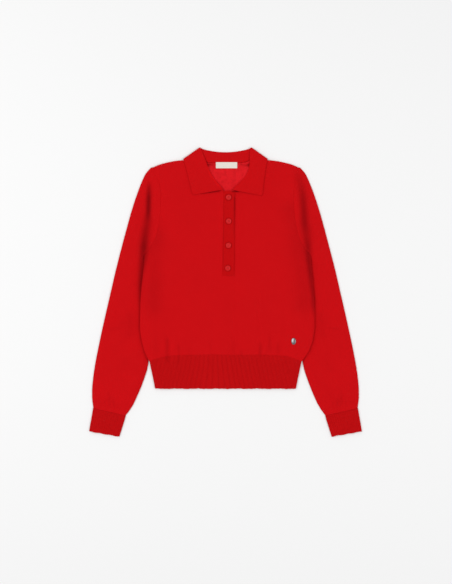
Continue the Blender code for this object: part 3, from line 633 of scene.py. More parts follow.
# shade is painted into the gathers' troughs, and light onto the ridges where it is negative
GATHERS = (  # where the waistband draws the knit in: x, top y, foot y, width, depth, shade
    (-168, -60, -158, 5.8, 0.32, 0.03), (-140, -102, -176, 4.1, 0.56, 0.16),
    (-113, -116, -180, 3.9, 0.4, 0.09), (-88, -126, -160, 3.4, 0.32, 0.04),
    (-36, -110, -162, 4.6, 0.32, 0.04), (19, -104, -160, 4.6, 0.32, 0.04),
    (36, -132, -160, 3.0, 0.32, 0.1), (82.5, -114, -160, 3.4, 0.56, 0.15),
    (105, -98, -150, 4.1, 0.4, 0.09), (125, -116, -156, 3.4, 0.4, 0.09),
    (-152, -110, -150, 3.4, -0.32, -0.04), (-128, -112, -152, 3.4, -0.32, -0.04),
    (92, -118, -150, 3.0, -0.32, -0.04), (140, -120, -152, 3.4, -0.24, -0.03),
)
BODY_SHADES = (  # soft broad painted shade where the front rolls down to its sides
    ((-168, 176), (-172, 60), (-174, -80), 22, 0.2, 0.1),
    ((152, 240), (174, 150), (186, 40), (190, -70), 26, 0.2, 0.12),
    ((-152, 190), (-160, 130), (-168, 100), 14, 0.2, 0.04),
)
COLLAR_SHADES = (  # painted shadow where the collar's leaves stand off the front beside the placket
    ((-66, 237), (-34, 240.5), (-6, 244.5), 2.8, 0, 0.62), ((14, 244.5), (38, 240.5), 2.8, 0, 1.0),
    ((30, 243), (72, 235), 2.2, 0, 0.3),
)
# the free edge's shadow is painted on front and placket, and light is painted where it is negative
PLACKET_EDGE = (  # along the placket's free edge: x, y, width, shade on front and placket
    (21.8, 238, 1.6, 0, 0), (21.6, 224, 1.8, 0.25, 0.4), (21.2, 182, 1.8, 0.25, 0.4),
    (20.8, 170, 1.6, 0, 0.3), (20.6, 142, 1.6, -0.15, 0.2), (20.4, 126, 1.8, -0.3, 0),
    (19.6, 44, 1.8, -0.3, 0),
)
SEAM_RIDGES = (  # over the seam allowances beside the placket, with a faint painted highlight
    ((31.5, 222), (30.5, 120), 3.0, -0.4, -0.03), ((-14, 224), (-15, 80), 3.0, -0.4, -0.03),
)
SHARPER = ((17, 36), (30, 246))  # corners of the strip beside the placket with finer cells


def press_gathers(piece):
    for x, top, foot, width, depth, shade in GATHERS:
        press(piece, [(x, top), (x + 1, (top + foot) / 2), (x, foot)], width, depth, shade, 16)


print("folds of the front:", len(GATHERS), "gathers and", len(PLEATS), "pleats")

# %% Front panel
JERSEY = 1.2  # wall, in millimetres
PANEL_STEP = 3.0 * MM

front = lay_cloth("sweater_front", "front", PANEL_STEP)
refine(front, *SHARPER, 2)
even_out(front, 14)
press_gathers(front)
for side, rows in PLEATS.items():
    press_pleat(front, rows, side, ON_FRONT)
press_all(front, BODY_SHADES, 50)
press_all(front, COLLAR_SHADES, 14)
press_pleat(front, PLACKET_EDGE, 1, ON_FRONT)
press_all(front, SEAM_RIDGES, 30)
unsettle(front, 70, 0.5, 1)
unsettle(front, 26, 0.12, 2)
give_wall(front, JERSEY)
dress(front, "front", "knit", body_knit)

# %% [markdown]
# ## The back
#
# The back is the same knit. From above only its inside shows, in the neck, and that side of plain
# knit is fuzzier and catches more light, so its upper faces get a brighter finish: a stronger sheen
# and a paler red, which is partly the fuzz's own look and partly painted light.

# %% Back panel
NECK_SHADES = (  # painted shadow under the collar by the label, painted light along its inner edges
    ((-56, 305), (-24, 305), 3.6, 0, 0.5), ((-52, 305), (-34, 304), 3.6, 0, 0.6),
    ((30, 305), (64, 305), 3.6, 0, 0.4), ((48, 305), (66, 304), 3.6, 0, 0.6),
    ((-40, 298), (-34, 283), (-20, 264), (-8, 251), 3, 0, -0.3),
    ((52, 296), (46, 278), (32, 264), (20, 250), 3, 0, -0.3),
)
BACK_FOLDS = (  # lifted from the floor: line, width and depth
    ((-120, 250), (-60, 120), (-40, 0), 12, -0.9), ((140, 200), (90, 60), (96, -60), 12, -0.9),
    ((-150, 60), (-130, -100), 10, -0.7), ((20, 220), (30, 60), 14, -0.7),
    ((-60, -90), (-58, -160), 6, -0.6), ((40, -80), (44, -160), 6, -0.6),
    ((110, -90), (108, -160), 6, -0.6), ((-110, -100), (-108, -160), 6, -0.5),
)
# shade painted along the folds on the underside, and how far their ends fade
FOLD_SHADE, FOLD_FADE = 0.12, 40
INSIDE_SHOWS = 0.3  # faces whose normals rise more than this show the inside of the knit

back = lay_cloth("sweater_back", "back", PANEL_STEP)
even_out(back, 6)
for *line, width, depth in BACK_FOLDS:
    press(back, line, width, depth, 0, FOLD_FADE)
give_wall(back, JERSEY)
set_mark(back, "under", read(back.data.vertices, "normal", 3)[:, 2] < 0)
press_all(back, NECK_SHADES, 8)
# paint shade along the folds, on the underside only
for *line, width, _ in BACK_FOLDS:
    press(back, line, width, 0, FOLD_SHADE, FOLD_FADE, under=True)
dress(back, "back", "knit", body_knit, inside_knit)
for face in back.data.polygons:
    face.material_index = int(face.normal.z > INSIDE_SHOWS)

# %% [markdown]
# ## Flat tubes
#
# Sleeves, cuffs and waistband are tubes of knit pressed flat: a top and an underside that meet in
# a fold on each side, open at both ends. The simplest way to make one is a single grid that runs
# across the top, round the fold, back along the underside and round to its start, where the first
# and last columns are welded. Its places are measured on the solids, row by row.

# %% Make a flat tube
EDGE_PROBE = 0.6 * MM  # how far in from a fold the height there is measured


def ring_of(upper, lower):
    """Rows across the top and across the underside, joined as rows that run round a tube."""
    return np.concatenate([upper, lower[:, -2::-1]], axis=1)


def tube_points(node, ends, columns, shut):
    """Points round a flat tube for each row, given the row's two ends on the floor.

    shut is 1 where the row's first end is a fold, and 0 where the tube is open there.
    """
    share = np.linspace(0, 1, columns + 1)
    uppers, lowers = [], []
    for (start, end), closed in zip(ends, shut):
        way = end - start
        probe = EDGE_PROBE / np.linalg.norm(way)
        tops, lows = (
            np.array([near_height(node, *(start + way * t), way * (0.5 - t), under)
                      for t in np.clip(share, probe, 1 - probe)]) for under in (False, True))
        middle = (tops + lows) / 2
        for heights in (tops, lows):
            heights[-1] = middle[-1]
            heights[0] += (middle[0] - heights[0]) * closed
        flat = start + way * share[:, None]
        uppers.append(np.column_stack([flat, tops]))
        lowers.append(np.column_stack([flat, lows]))
    return ring_of(np.array(uppers), np.array(lowers))


def make_tube(name, points, lean=0.0, yarn_places=None):
    """A tube of cloth from its points, marked where it is under.

    Where the yarn columns don't run straight, yarn_places says where each point would be if
    they did.
    """
    rows, columns = (n - 1 for n in points.shape[:2])
    bpy.ops.mesh.primitive_grid_add(x_subdivisions=columns, y_subdivisions=rows, size=1)
    piece = call_it(name)
    set_points(piece, (points if yarn_places is None else yarn_places).reshape(-1, 3))
    lay_uv(piece, lean)
    set_points(piece, points.reshape(-1, 3))
    half = columns // 2
    below = np.concatenate([[0.5], np.zeros(half - 1), [0.5], np.ones(half - 1), [0.5]])
    set_mark(piece, "under", np.tile(below, rows + 1))
    with editing(piece):
        bpy.ops.mesh.select_all(action="SELECT")
        bpy.ops.mesh.remove_doubles(threshold=0.02 * MM)
        bpy.ops.mesh.normals_make_consistent(inside=False)
    print(name, "has", len(piece.data.polygons), "cells")
    return piece


def row_ends(node, start, way, reach=120 * MM, proud=0.0):
    """Both places where a solid's outline is met, going both ways from a start inside it."""
    way = way / np.linalg.norm(way)
    near, far = (outline_point(node, start, sign * way, reach) for sign in (-1, 1))
    return near - way * proud, far + way * proud


def outward(points_mm, side):
    """Points given in millimetres for the right side, in metres and on this side."""
    return np.array(points_mm, float) * (side, 1) * MM


# %% [markdown]
# ## The sleeves
#
# A sleeve is one piece of knit closed under the arm. Its rows lie level at the armhole and tilt
# toward the cuff, as the arm does. At the armhole the tube is open and lies against the body, and
# from the armpit down its inner fold is tucked under the body. The body's side presses a shallow
# trough into it, and above the armpit a pleat runs on up to the shoulder. The dark band along them
# is mostly shade painted into the cloth.

# %% Sleeves
SLEEVE_COLUMNS = 24
SLEEVE_PROUD = 0.9 * MM  # the folds are drawn this far out, because rounding takes them in again
SLEEVE_LEAN = radians(10.3)
SLEEVE_ROWS = (  # y at the outer fold and the inner edge, x midway, width, and rows down to it
    (298.0, 298.0, 175.8, 9, 0), (283.0, 283.0, 180.5, 20, 6), (229.0, 229.0, 189.0, 50, 14),
    (147.0, 147.0, 204.0, 70, 20), (87.0, 87.0, 227.0, 60, 14), (-54.0, -54.0, 236.0, 110, 32),
    (-118.0, -122.0, 243.0, 116, 16), (-198.0, -209.0, 256.0, 122, 18),
    (-277.6, -295.1, 278.3, 78, 22),
)
ARMHOLE_SHUTS = (112.0, 87.0)  # y between which the open armhole becomes the inner fold
UNDERARM_TUCKS = ((65.0, 9.0, 2.8), (80.0, 14.0, 1.2))  # y, reach, how far under the body
UNDERARM_RISES = {  # where the sleeve fills the space under the body's edge
    -1: [(-196.5, 40), (-195.5, 60), (-195, 80)], 1: [(206.5, 40), (205.5, 60), (205, 80)],
}
ARMHOLE_OVERLAP = 0.9 * MM  # how far the top row reaches under the front's shoulder
CUFF_OVERLAP = 1.6  # rows that the foot of the sleeve reaches into the cuff
OPEN_TUCK, SHUT_TUCK = 0.4, 0.5  # millimetres under the body at the armhole, and more below it
# shade painted along the folds, on the top here and on the underside in the next table
SLEEVE_FOLDS = (  # gathers above the cuff and broad soft folds: line's ends, width, depth, shade
    ((256, -288), (259, -262), 2.6, 0.5, 0.1), ((266, -286), (270, -246), 2.6, 0.6, 0.12),
    ((276, -284), (280, -232), 2.6, 0.6, 0.12), ((287, -282), (291, -250), 2.6, 0.6, 0.1),
    ((299, -279), (301, -256), 2.6, 0.5, 0.1), ((309, -276), (309, -252), 2.4, 0.4, 0.08),
    ((232, -84), (284, -90), 3.5, 0.4, 0.06), ((226, -72), (262, -74), 3.0, 0.3, 0.05),
    ((224, -40), (232, -120), 12, 0.4, 0.06), ((228, -150), (258, -196), 12, 0.4, 0.03),
    ((212, 190), (232, 120), 12, 0.4, 0.02),
)
UNDERSIDE_FOLDS = (  # like the last, lifted from the floor
    ((215, 40), (262, -60), 9, -0.7, 0.12), ((225, -120), (290, -170), 8, -0.6, 0.12),
    ((240, -220), (300, -235), 8, -0.5, 0.12), ((264, -284), (272, -240), 5, -0.5, 0.12),
    ((290, -280), (293, -246), 5, -0.5, 0.12), ((190, 200), (235, 110), 9, -0.6, 0.12),
)


def measure_sleeve(node, side):
    """Ends of every row of a sleeve, and how far each row's inner edge is shut."""
    ends, shut = [], []
    table = np.array([row[:4] for row in SLEEVE_ROWS])
    counts = [row[4] for row in SLEEVE_ROWS]
    stations = [table[0]]
    for before, after, count in zip(table, table[1:], counts[1:]):
        stations += [before + (after - before) * k / count for k in range(1, count + 1)]
    stations.insert(-1, stations[-1] * 0.85 + stations[-2] * 0.15)  # keeps the end crisp
    for outer_y, inner_y, middle_x, width in stations:
        start = outward((middle_x, (outer_y + inner_y) / 2), side)
        way = outward((width, outer_y - inner_y), side)
        closed = float(ease((ARMHOLE_SHUTS[0] - inner_y) / (ARMHOLE_SHUTS[0] - ARMHOLE_SHUTS[1])))
        inner, outer = row_ends(node, start, way)
        along = (outer - inner) / np.linalg.norm(outer - inner)
        tuck = OPEN_TUCK + SHUT_TUCK * closed + sum(
            most * exp(-(((inner_y - y) / reach) ** 2)) for y, reach, most in UNDERARM_TUCKS)
        ends.append((inner - along * tuck * MM, outer + along * SLEEVE_PROUD))
        shut.append(closed)
    return ends, shut


for name, side in (("left", -1), ("right", 1)):
    node = f"sleeve_{name}"
    ends, shut = measure_sleeve(node, side)
    points = tube_points(node, ends, SLEEVE_COLUMNS, shut)
    points[0, :, 1] += ARMHOLE_OVERLAP
    points[-1, :, :2] += (points[-1] - points[-2])[:, :2] * CUFF_OVERLAP
    sleeve = make_tube(f"sweater_{node}", points, -side * SLEEVE_LEAN)
    even_out(sleeve, 3)
    press_all(sleeve, SLEEVE_FOLDS, 18, side)
    press_all(sleeve, UNDERSIDE_FOLDS, 24, side, under=True)
    press_pleat(sleeve, PLEATS[side], side, ON_SLEEVE)
    press(sleeve, UNDERARM_RISES[side], 6, -0.9, 0, 12)
    unsettle(sleeve, 50, 0.5, 3 + side)
    unsettle(sleeve, 22, 0.15, 5 + side)
    apply_modifier(sleeve, "SOLIDIFY", thickness=JERSEY * MM, offset=-1)
    apply_modifier(sleeve, "SUBSURF", levels=1, render_levels=1)
    smooth(sleeve, 80)
    dress(sleeve, node, "knit", body_knit)

# %% [markdown]
# ## The waistband
#
# The waistband is a rib-knit tube. Its ribs pull in and stand up, so they are modelled: three
# fine columns of stitches make one rib, and a deeper furrow parts it from the next. The ribs run
# down from the seam and splay a little toward a hem that waves from rib to rib.
# Shade is painted into the furrows as well, darkest in the middle of the waistband.

# %% Rib relief
RIB_WALL = 1.1 * MM


def rib_rise(place, wide, fine):
    """Height of ribs over their furrows, in metres, where one rib is one step of place."""
    rib = np.abs(np.sin(pi * place)) ** 0.5
    stitches = np.abs(np.sin(3 * pi * place))
    return (wide * rib + fine * stitches) * MM


def furrow_shade(place, shade):
    """Shade painted into the furrows, from the same places."""
    furrow = (1 - np.abs(np.sin(pi * place))) ** 1.5
    return shade * (furrow + 0.25 * (1 - np.abs(np.sin(3 * pi * place))))


def make_rib(name, points, lean, shades, yarn_places=None):
    """A rib-knit tube, from its points and a painted shade for every point across its top."""
    piece = make_tube(name, points, lean, yarn_places)
    set_mark(piece, "painted_shade", ring_of(shades, shades)[:, :-1].ravel())
    return piece


def finish_rib(piece, nodes):
    apply_modifier(piece, "SOLIDIFY", thickness=RIB_WALL, offset=-1)
    smooth(piece, 70)
    dress(piece, nodes, "rib", rib_knit)


# %% Waistband: where it lies
BAND_RIBS, RIB_COLUMNS, BAND_ROWS = 36, 12, 22
BAND_TOP, BAND_FOOT, BAND_INSIDE = -167.0, -231.9, -168.6  # y at the corners, the hem and inside
BAND_REACH = 0.25  # more than half its width
RIB_PROUD = 0.3 * MM  # how far the folds are drawn out
SEAM_INSET = 1.5 * MM  # keeps what is measured there away from the corners
SEAM_TUCK = 0.4 * MM  # how far the band's top reaches past its outline
SEAM_REACH = 0.1
RIGHT, UP = np.array((1.0, 0.0)), np.array((0.0, 1.0))

across = np.linspace(0, 1, BAND_RIBS * RIB_COLUMNS + 1)
down = np.linspace(0, 1, BAND_ROWS + 1)[:, None]
levels = np.clip(BAND_TOP + (BAND_FOOT - BAND_TOP) * down[:, 0], BAND_FOOT + 0.4, BAND_TOP - 0.6)
sides = np.array([
    row_ends("waistband_front", np.array((0.0, level * MM)), RIGHT, BAND_REACH, RIB_PROUD)
    for level in levels])[:, :, 0]
x = sides[:, :1] + (sides[:, 1:] - sides[:, :1]) * across
seam_x = np.clip(x[0], x[0, 0] + SEAM_INSET, x[0, -1] - SEAM_INSET)
seam_y = np.array([outline_point("waistband_front", np.array((a, BAND_INSIDE * MM)), UP,
                                 SEAM_REACH)[1] for a in seam_x]) + SEAM_TUCK
hem_y = BAND_FOOT * MM + (0.4 * np.sin(7 * tau * across + 1) + 0.3 * np.sin(17 * tau * across)
                          + 0.25 * np.cos(tau * BAND_RIBS * across)) * MM
y = seam_y + (hem_y - seam_y) * down
print("waistband:", round((x[0, -1] - x[0, 0]) / MM), "mm wide at the seam")

# %% Waistband: how high it stands
BAND_MIDDLE = np.array((0.0, -0.19))
SEAM_ABOVE, SEAM_BELOW = 1.5 * MM, 1.2 * MM  # from the seam to where heights are measured
BAND_LIFT, BAND_UNDERSIDE = 1.4 * MM, 0.8 * MM  # over the half below it, and over the floor
BAND_FADE = 6 * MM  # distance over which the ribs rise from the seam
BAND_DROP = 9 * MM  # and over which the band comes down from the front's height
FAN_MIDDLE, FAN_LEAN, FAN_WIDTH = -26 * MM, 18 * MM, 45 * MM  # how the ribs splay to the hem

seam_z = np.array([near_height("front", *spot, UP)
                   for spot in zip(seam_x, seam_y + SEAM_ABOVE)])
floor_z = np.array([
    near_height("waistband_front", *spot, BAND_MIDDLE - spot, under=True)
    for spot in zip(np.clip(x, sides[:, :1] + EDGE_PROBE, sides[:, 1:] - EDGE_PROBE).ravel(),
                    np.clip(y, BAND_FOOT * MM + EDGE_PROBE, seam_y - SEAM_BELOW).ravel())
]).reshape(x.shape)
yarn_x = x - FAN_LEAN * np.tanh((x - FAN_MIDDLE) / FAN_WIDTH) * down
rib_place = BAND_RIBS * (yarn_x - x[0, 0]) / (x[0, -1] - x[0, 0])
from_seam = seam_y - y
relief = rib_rise(rib_place, 0.6, 0.15) * ease(from_seam / BAND_FADE)
upper_z = floor_z + BAND_LIFT + relief
upper_z += (seam_z - upper_z) * (1 - ease(from_seam / BAND_DROP))
lower_z = BAND_UNDERSIDE - relief
for rim in (0, -1):
    upper_z[:, rim] = lower_z[:, rim] = (upper_z[:, rim] + lower_z[:, rim]) / 2
print("waistband:", round(upper_z.max() / MM, 1), "mm high")

# %% Waistband
BAND_SHADE = 0.11  # how much shade is painted into the furrows
SHADE_MIDDLE, SHADE_WIDTH = -10 * MM, 95 * MM  # they are darkest round here, and even out beside it
# shade painted evenly where the furrows' painted shade fades out
EVEN_SHADE = 0.03

strength = 0.4 + 0.6 * np.exp(-(((yarn_x - SHADE_MIDDLE) / SHADE_WIDTH) ** 2))
shades = furrow_shade(rib_place, BAND_SHADE) * strength + EVEN_SHADE * (1 - strength)
yarn = np.dstack([yarn_x, y, upper_z])
band = make_rib("sweater_waistband",
                ring_of(np.dstack([x, y, upper_z]), np.dstack([x, y, lower_z])), 0, shades,
                ring_of(yarn, yarn))
press_gathers(band)
unsettle(band, 45, 0.4, 8)
finish_rib(band, "waistband_front waistband_back")

# %% [markdown]
# ## The cuffs
#
# The cuffs are the same rib, finer and pulled tighter. In the picture they are almost smooth, so
# their ribs are low.

# %% Cuffs
CUFF_RIBS, CUFF_COLUMNS, CUFF_ROWS = 15, 8, 20
# shade painted into the cuffs' furrows
CUFF_SHADE = 0.08
CUFF_CORNERS = ((239.4, -296.3), (317.4, -278.8), (254.9, -346.9), (326.8, -334.2))
CUFF_START, CUFF_END = 0.01, 0.985  # the rows measured, as shares of the way to the foot
CUFF_TOP, CUFF_MIDDLE, CUFF_UNDERSIDE = 3.7 * MM, 1.9 * MM, 0.4 * MM  # heights
ROLL_STEEPNESS = 16  # how much of the width rolls off at each fold, as one over its share

columns = CUFF_RIBS * CUFF_COLUMNS
across = np.linspace(0, 1, columns + 1)
top_half, under_half = slice(1, columns), slice(columns + 1, -1)
round_off = np.sqrt(1 - (1 - np.clip(np.minimum(across, 1 - across) * ROLL_STEEPNESS, 0, 1)) ** 2)
round_off = round_off[top_half]
shown = ease(np.linspace(0, 14, CUFF_ROWS + 1))[:, None]
relief = (rib_rise(CUFF_RIBS * across, 0.3, 0.1) * shown)[:, top_half]
shades = np.tile(furrow_shade(CUFF_RIBS * across, CUFF_SHADE), (CUFF_ROWS + 1, 1))

for name, side in (("left", -1), ("right", 1)):
    node = f"cuff_{name}"
    inner_top, outer_top, inner_foot, outer_foot = (outward(c, side) for c in CUFF_CORNERS)
    ends = []
    for t in np.linspace(CUFF_START, CUFF_END, CUFF_ROWS + 1):
        inner = inner_top + (inner_foot - inner_top) * t
        outer = outer_top + (outer_foot - outer_top) * t
        ends.append(row_ends(node, (inner + outer) / 2, outer - inner, 60 * MM, RIB_PROUD))
    points = tube_points(node, ends, columns, np.ones(CUFF_ROWS + 1))
    down = points[-1, :, :2] - points[0, :, :2]
    points[0, :, :2] -= down * 0.02
    wave = (0.35 * np.cos(tau * CUFF_RIBS * across) + 0.5 * np.sin(3 * tau * across + side)) * MM
    length = np.hypot(*down.T)[:, None]
    points[-1, :, :2] += down * (0.015 + ring_of(wave[None], wave[None])[0][:, None] / length)
    for half, way, level in ((top_half, 1, CUFF_TOP), (under_half, -1, CUFF_UNDERSIDE)):
        rise = level + way * relief[:, ::way] - CUFF_MIDDLE
        points[:, half, 2] = CUFF_MIDDLE + rise * round_off[::way]
    cuff = make_rib(f"sweater_{node}", points, -side * SLEEVE_LEAN, shades)
    # a shallow trough along the cuff's top seam, with shade painted along it
    press_all(cuff, [(*CUFF_CORNERS[:2], 1.8, 0.35, 0.12)], 0.1, side)
    unsettle(cuff, 30, 0.3, 10 + side)
    finish_rib(cuff, node)

# %% [markdown]
# ## The collar
#
# The collar is one knitted strip, folded along its length and bent round the neck, so it is
# neither a flat sheet nor a tube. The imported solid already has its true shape. A copy is merged
# into whole faces and smoothed by subdivision, with its free edges kept crisp.


# %% Copy and crease a solid
def copy_node(name, node):
    """A merged copy of a solid, its triangles joined into quads where they can be."""
    piece = frame["nodes"][node].copy()
    piece.data = piece.data.copy()
    piece.name = piece.data.name = name
    piece.data.materials.clear()
    piece.hide_render = False
    bpy.context.scene.collection.objects.link(piece)
    with editing(piece):
        bpy.ops.mesh.select_all(action="SELECT")
        bpy.ops.mesh.remove_doubles(threshold=0.01 * MM)
        bpy.ops.mesh.tris_convert_to_quads(face_threshold=radians(60), shape_threshold=radians(60))
    return piece


def crease_sharp_edges(piece, angle, amount):
    """Keep edges sharper than an angle crisp under subdivision."""
    mesh = piece.data
    normals = [[] for _ in mesh.edges]
    lookup = {tuple(sorted(edge.vertices)): edge.index for edge in mesh.edges}
    for face in mesh.polygons:
        for key in face.edge_keys:
            normals[lookup[key]].append(face.normal.copy())
    creases = mesh.attributes.new("crease_edge", "FLOAT", "EDGE")
    for pair, kept in zip(normals, creases.data):
        if len(pair) == 2 and pair[0].angle(pair[1], 0) > angle:
            kept.value = amount


# %% Collar
NECK_EDGE_LIGHT = (  # painted light where the leaves' edges round the neck catch the light
    ((-42, 302), (-35, 283), (-27.6, 273.5), (-20.4, 264), (-8.4, 249.5), 2.4, 0, -0.7),
    ((54, 302), (51.5, 288), (45.5, 278), (37, 269), (28, 261), (20, 249), 2.4, 0, -0.7),
)

collar = copy_node("sweater_collar", "collar")
crease_sharp_edges(collar, radians(50), 0.45)
print("collar has", len(collar.data.polygons), "cells")
apply_modifier(collar, "SUBSURF", levels=2, render_levels=2)
lay_uv(collar)
press_all(collar, NECK_EDGE_LIGHT, 12)
unsettle(collar, 30, 0.25, 12)
smooth(collar, 60)
dress(collar, "collar", "collar", collar_knit)

# %% [markdown]
# ## The placket
#
# The placket is two strips of firm knit in the front's slit. The upper one is laid over the lower
# one and its right edge is free, so it stands up a little and throws a thin shadow, which is
# painted on the cloth beside it as well. Shade is also painted at its top and round the buttons.

# %% Plackets
PLACKET_STEP = 2.0 * MM
FREE_EDGE = ((21.4, 236), (20.4, 140), (19.6, 44))
SEWN_EDGE = ((-3.6, 236), (-4.6, 140), (-5.4, 44))
# a shadow is painted here, at the top corner under the collar's right leaf
PLACKET_TOP_SHADOW = ((13, 243), (27, 240))
BUTTONS = [f"button_{number}" for number in range(1, 5)]
BUTTON_SHADOW = (6.2, 1.6, 0.4)  # radius, width and shade of the shadow painted round a button


def press_upper_strip(strip):
    """Lift the free edge and sink the sewn one; paint shade by both, at the top and round buttons.
    """
    press(strip, FREE_EDGE, 2.2, -0.7, 0, 20)
    press_pleat(strip, PLACKET_EDGE, 1, ON_PLACKET)
    press(strip, PLACKET_TOP_SHADOW, 2.6, 0, 0.55, 5)
    press(strip, SEWN_EDGE, 1.4, 0.35, 0.15, 10)
    radius, width, shade = BUTTON_SHADOW
    for node in BUTTONS:
        low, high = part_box(node)
        gap = np.hypot(*(points_of(strip)[:, :2] - ((low + high) / 2)[:2]).T) / MM
        add_painted_shade(strip, shade * np.exp(-(((gap - radius) / width) ** 2)))


for name, width, area in (("placket_under", 0.027, 0.0046), ("placket_over", 0.03, 0.006)):
    strip = lay_cloth(f"sweater_{name}", name, PLACKET_STEP)
    if name == "placket_over":
        press_upper_strip(strip)
    unsettle(strip, 22, 0.25, 14)
    give_wall(strip, 1.3, 0.4)
    dress(strip, name, "knit", placket_knit)

# %% [markdown]
# ## Finishes of the small pieces
#
# The buttons are moulded plastic dyed to match, slightly cloudy. The neck label is a blank woven
# tape. The small plate near the hem is plain silver metal, brushed and a little worn. Each gets
# its own detail from a node group: cloud and speckle, over-and-under weave, or brushed grain.


# %% Group: uneven surface
def make_uneven_group():
    """Two sizes of noise on the piece itself: a colour between two, a roughness and a height."""
    group, given, made = new_group(
        "Uneven surface",
        [("Light", COLOR, (0.8, 0.8, 0.8, 1)), ("Dark", COLOR, (0.5, 0.5, 0.5, 1)),
         ("Cloud size", FLOAT, 0.004), ("Grain size", FLOAT, 0.0003), ("Stretch", FLOAT, 1.0),
         ("Smoothest", FLOAT, 0.3), ("Roughest", FLOAT, 0.4)],
        [("Color", COLOR), ("Roughness", FLOAT), ("Height", FLOAT)],
    )
    do = partial(math_node, group)
    ratio = add_node(group, "CombineXYZ", X=1.0, Y=given["Stretch"], Z=1.0)
    stretch = add_node(group, "VectorMath", {"operation": "MULTIPLY"})
    give(group, stretch.inputs[0], add_node(group, "TexCoord").outputs["Object"])
    give(group, stretch.inputs[1], ratio.outputs[0])
    cloud, grain = (
        add_node(group, "TexNoise", Vector=stretch.outputs[0], Detail=detail,
                 Scale=do("DIVIDE", 1.0, given[size])).outputs["Fac"]
        for size, detail in (("Cloud size", 3.0), ("Grain size", 2.0)))
    both = do("ADD", do("MULTIPLY", cloud, 0.7), do("MULTIPLY", grain, 0.3))
    spread = add_node(group, "MapRange", Value=both, To_Min=given["Smoothest"],
                      To_Max=given["Roughest"])
    give(group, made["Color"], mix_colors(group, both, given["Light"], given["Dark"]))
    give(group, made["Roughness"], spread.outputs["Result"])
    give(group, made["Height"], grain)
    return group


uneven_group = make_uneven_group()
print("made", uneven_group.name)


# %% Plastic, thread, metal
def make_uneven(name, light, dark, cloud, grain, smoothest, roughest, depth, stretch=1.0, **more):
    """A finish from the uneven group. cloud, grain and depth are in millimetres."""
    material, tree_, shader = new_material(name)
    surface = add_node(tree_, "Group", {"node_tree": uneven_group}, Light=srgb(*light),
                       Dark=srgb(*dark), Cloud_size=cloud * MM, Grain_size=grain * MM,
                       Stretch=stretch, Smoothest=smoothest, Roughest=roughest).outputs
    feed(tree_, shader, Base_Color=surface["Color"], Roughness=surface["Roughness"], **more)
    add_relief(tree_, shader, surface["Height"], depth)
    return material


plastic = make_uneven("button plastic", (214, 25, 29), (184, 9, 12), 3.0, 0.4, 0.28, 0.42, 0.01,
                      Specular_IOR_Level=0.2)
thread = make_uneven("sewing thread", (186, 12, 17), (120, 2, 6), 0.8, 0.2, 0.7, 0.9, 0.05)
label_thread = make_uneven("label thread", (240, 238, 230), (205, 202, 190), 0.8, 0.2, 0.7, 0.9,
                           0.05)
silver = make_uneven("silver metal", (150, 148, 150), (84, 82, 85), 2.5, 0.25, 0.18, 0.38,
                     0.008, stretch=0.2, Metallic=1.0)

# %% Woven tape
THREAD_PITCH = {"X": 0.42 * MM, "Y": 0.3 * MM}


def make_tape():
    """Off-white tape in plain weave: threads over and under, along Object X and Y."""
    material, tree_, shader = new_material("label tape")
    do = partial(math_node, tree_)
    place = add_node(tree_, "SeparateXYZ", Vector=add_node(tree_, "TexCoord").outputs["Object"])
    waves = [do("SINE", do("MULTIPLY", place.outputs[axis], pi / pitch))
             for axis, pitch in THREAD_PITCH.items()]
    weave = do("ADD", do("MULTIPLY", do("MULTIPLY", *waves), 0.5), 0.5)
    # the threads are one colour; the darker off-white where they dip is painted shade
    color = mix_colors(tree_, weave, srgb(208, 202, 191), srgb(225, 219, 210))
    feed(tree_, shader, Base_Color=color, Roughness=0.85, Specular_IOR_Level=0.2)
    add_relief(tree_, shader, weave, 0.08)
    return material


tape = make_tape()
print("small finishes:", plastic.name, thread.name, silver.name, tape.name)

# %% [markdown]
# ## The buttons
#
# Four sewn-through buttons close the placket. One is modelled as a turner would cut it: a disc
# whose top is drawn up and in to a rounded rim, then sunk to a dish with four holes. Two loops of
# thread pass through the holes. Copies are set down where their solids rest, tilted as they are.

# %% Turned pieces and thread
FIRST_RISE = 0.1  # of the disc that is extruded


def add_turned(name, profile, sides):
    """A disc whose top is extruded through a profile of (radius, height) in millimetres."""
    (radius, start), *steps = profile
    bpy.ops.mesh.primitive_cylinder_add(vertices=sides, radius=radius * MM, depth=FIRST_RISE * MM,
                                        location=(0, 0, (start + FIRST_RISE / 2) * MM))
    piece = call_it(name)
    bpy.ops.object.transform_apply()
    select_faces(piece, [face.normal.z > 0.9 for face in piece.data.polygons])
    level = start + FIRST_RISE
    with editing(piece, "FACE"):
        for wide, high in steps:
            bpy.ops.mesh.extrude_region_move(
                TRANSFORM_OT_translate={"value": (0, 0, (high - level) * MM)})
            bpy.ops.transform.resize(value=(wide / radius, wide / radius, 1))
            radius, level = wide, high
    return piece


def add_thread(middle, length, rise, thickness, finish, across=False):
    """A loop of thread that shows as one stitch, in millimetres."""
    bpy.ops.mesh.primitive_torus_add(
        location=[m * MM for m in middle], rotation=(pi / 2, 0, pi / 2 if across else 0),
        major_segments=20, minor_segments=8, major_radius=length / 2 * MM,
        minor_radius=thickness / 2 * MM)
    loop = bpy.context.object
    loop.scale = (1, 2 * rise / length, 1)
    bpy.ops.object.transform_apply()
    loop.data.materials.append(finish)
    return loop


def rest_of(node):
    """Where a small hard solid rests: the middle of its flat underside, and its way up."""
    total, middle, way = 0.0, Vector(), Vector()
    for face in frame["nodes"][node].data.polygons:
        if face.normal.z < -0.9:
            middle += face.center * face.area
            way -= face.normal * face.area
            total += face.area
    return middle / total, way.normalized()


def set_down(piece, node):
    """Carry a piece made round the origin to where its solid rests, tilted as it is."""
    middle, way = rest_of(node)
    turn = Vector((0, 0, 1)).rotation_difference(way).to_matrix().to_4x4()
    piece.data.transform(Matrix.Translation(middle) @ turn)


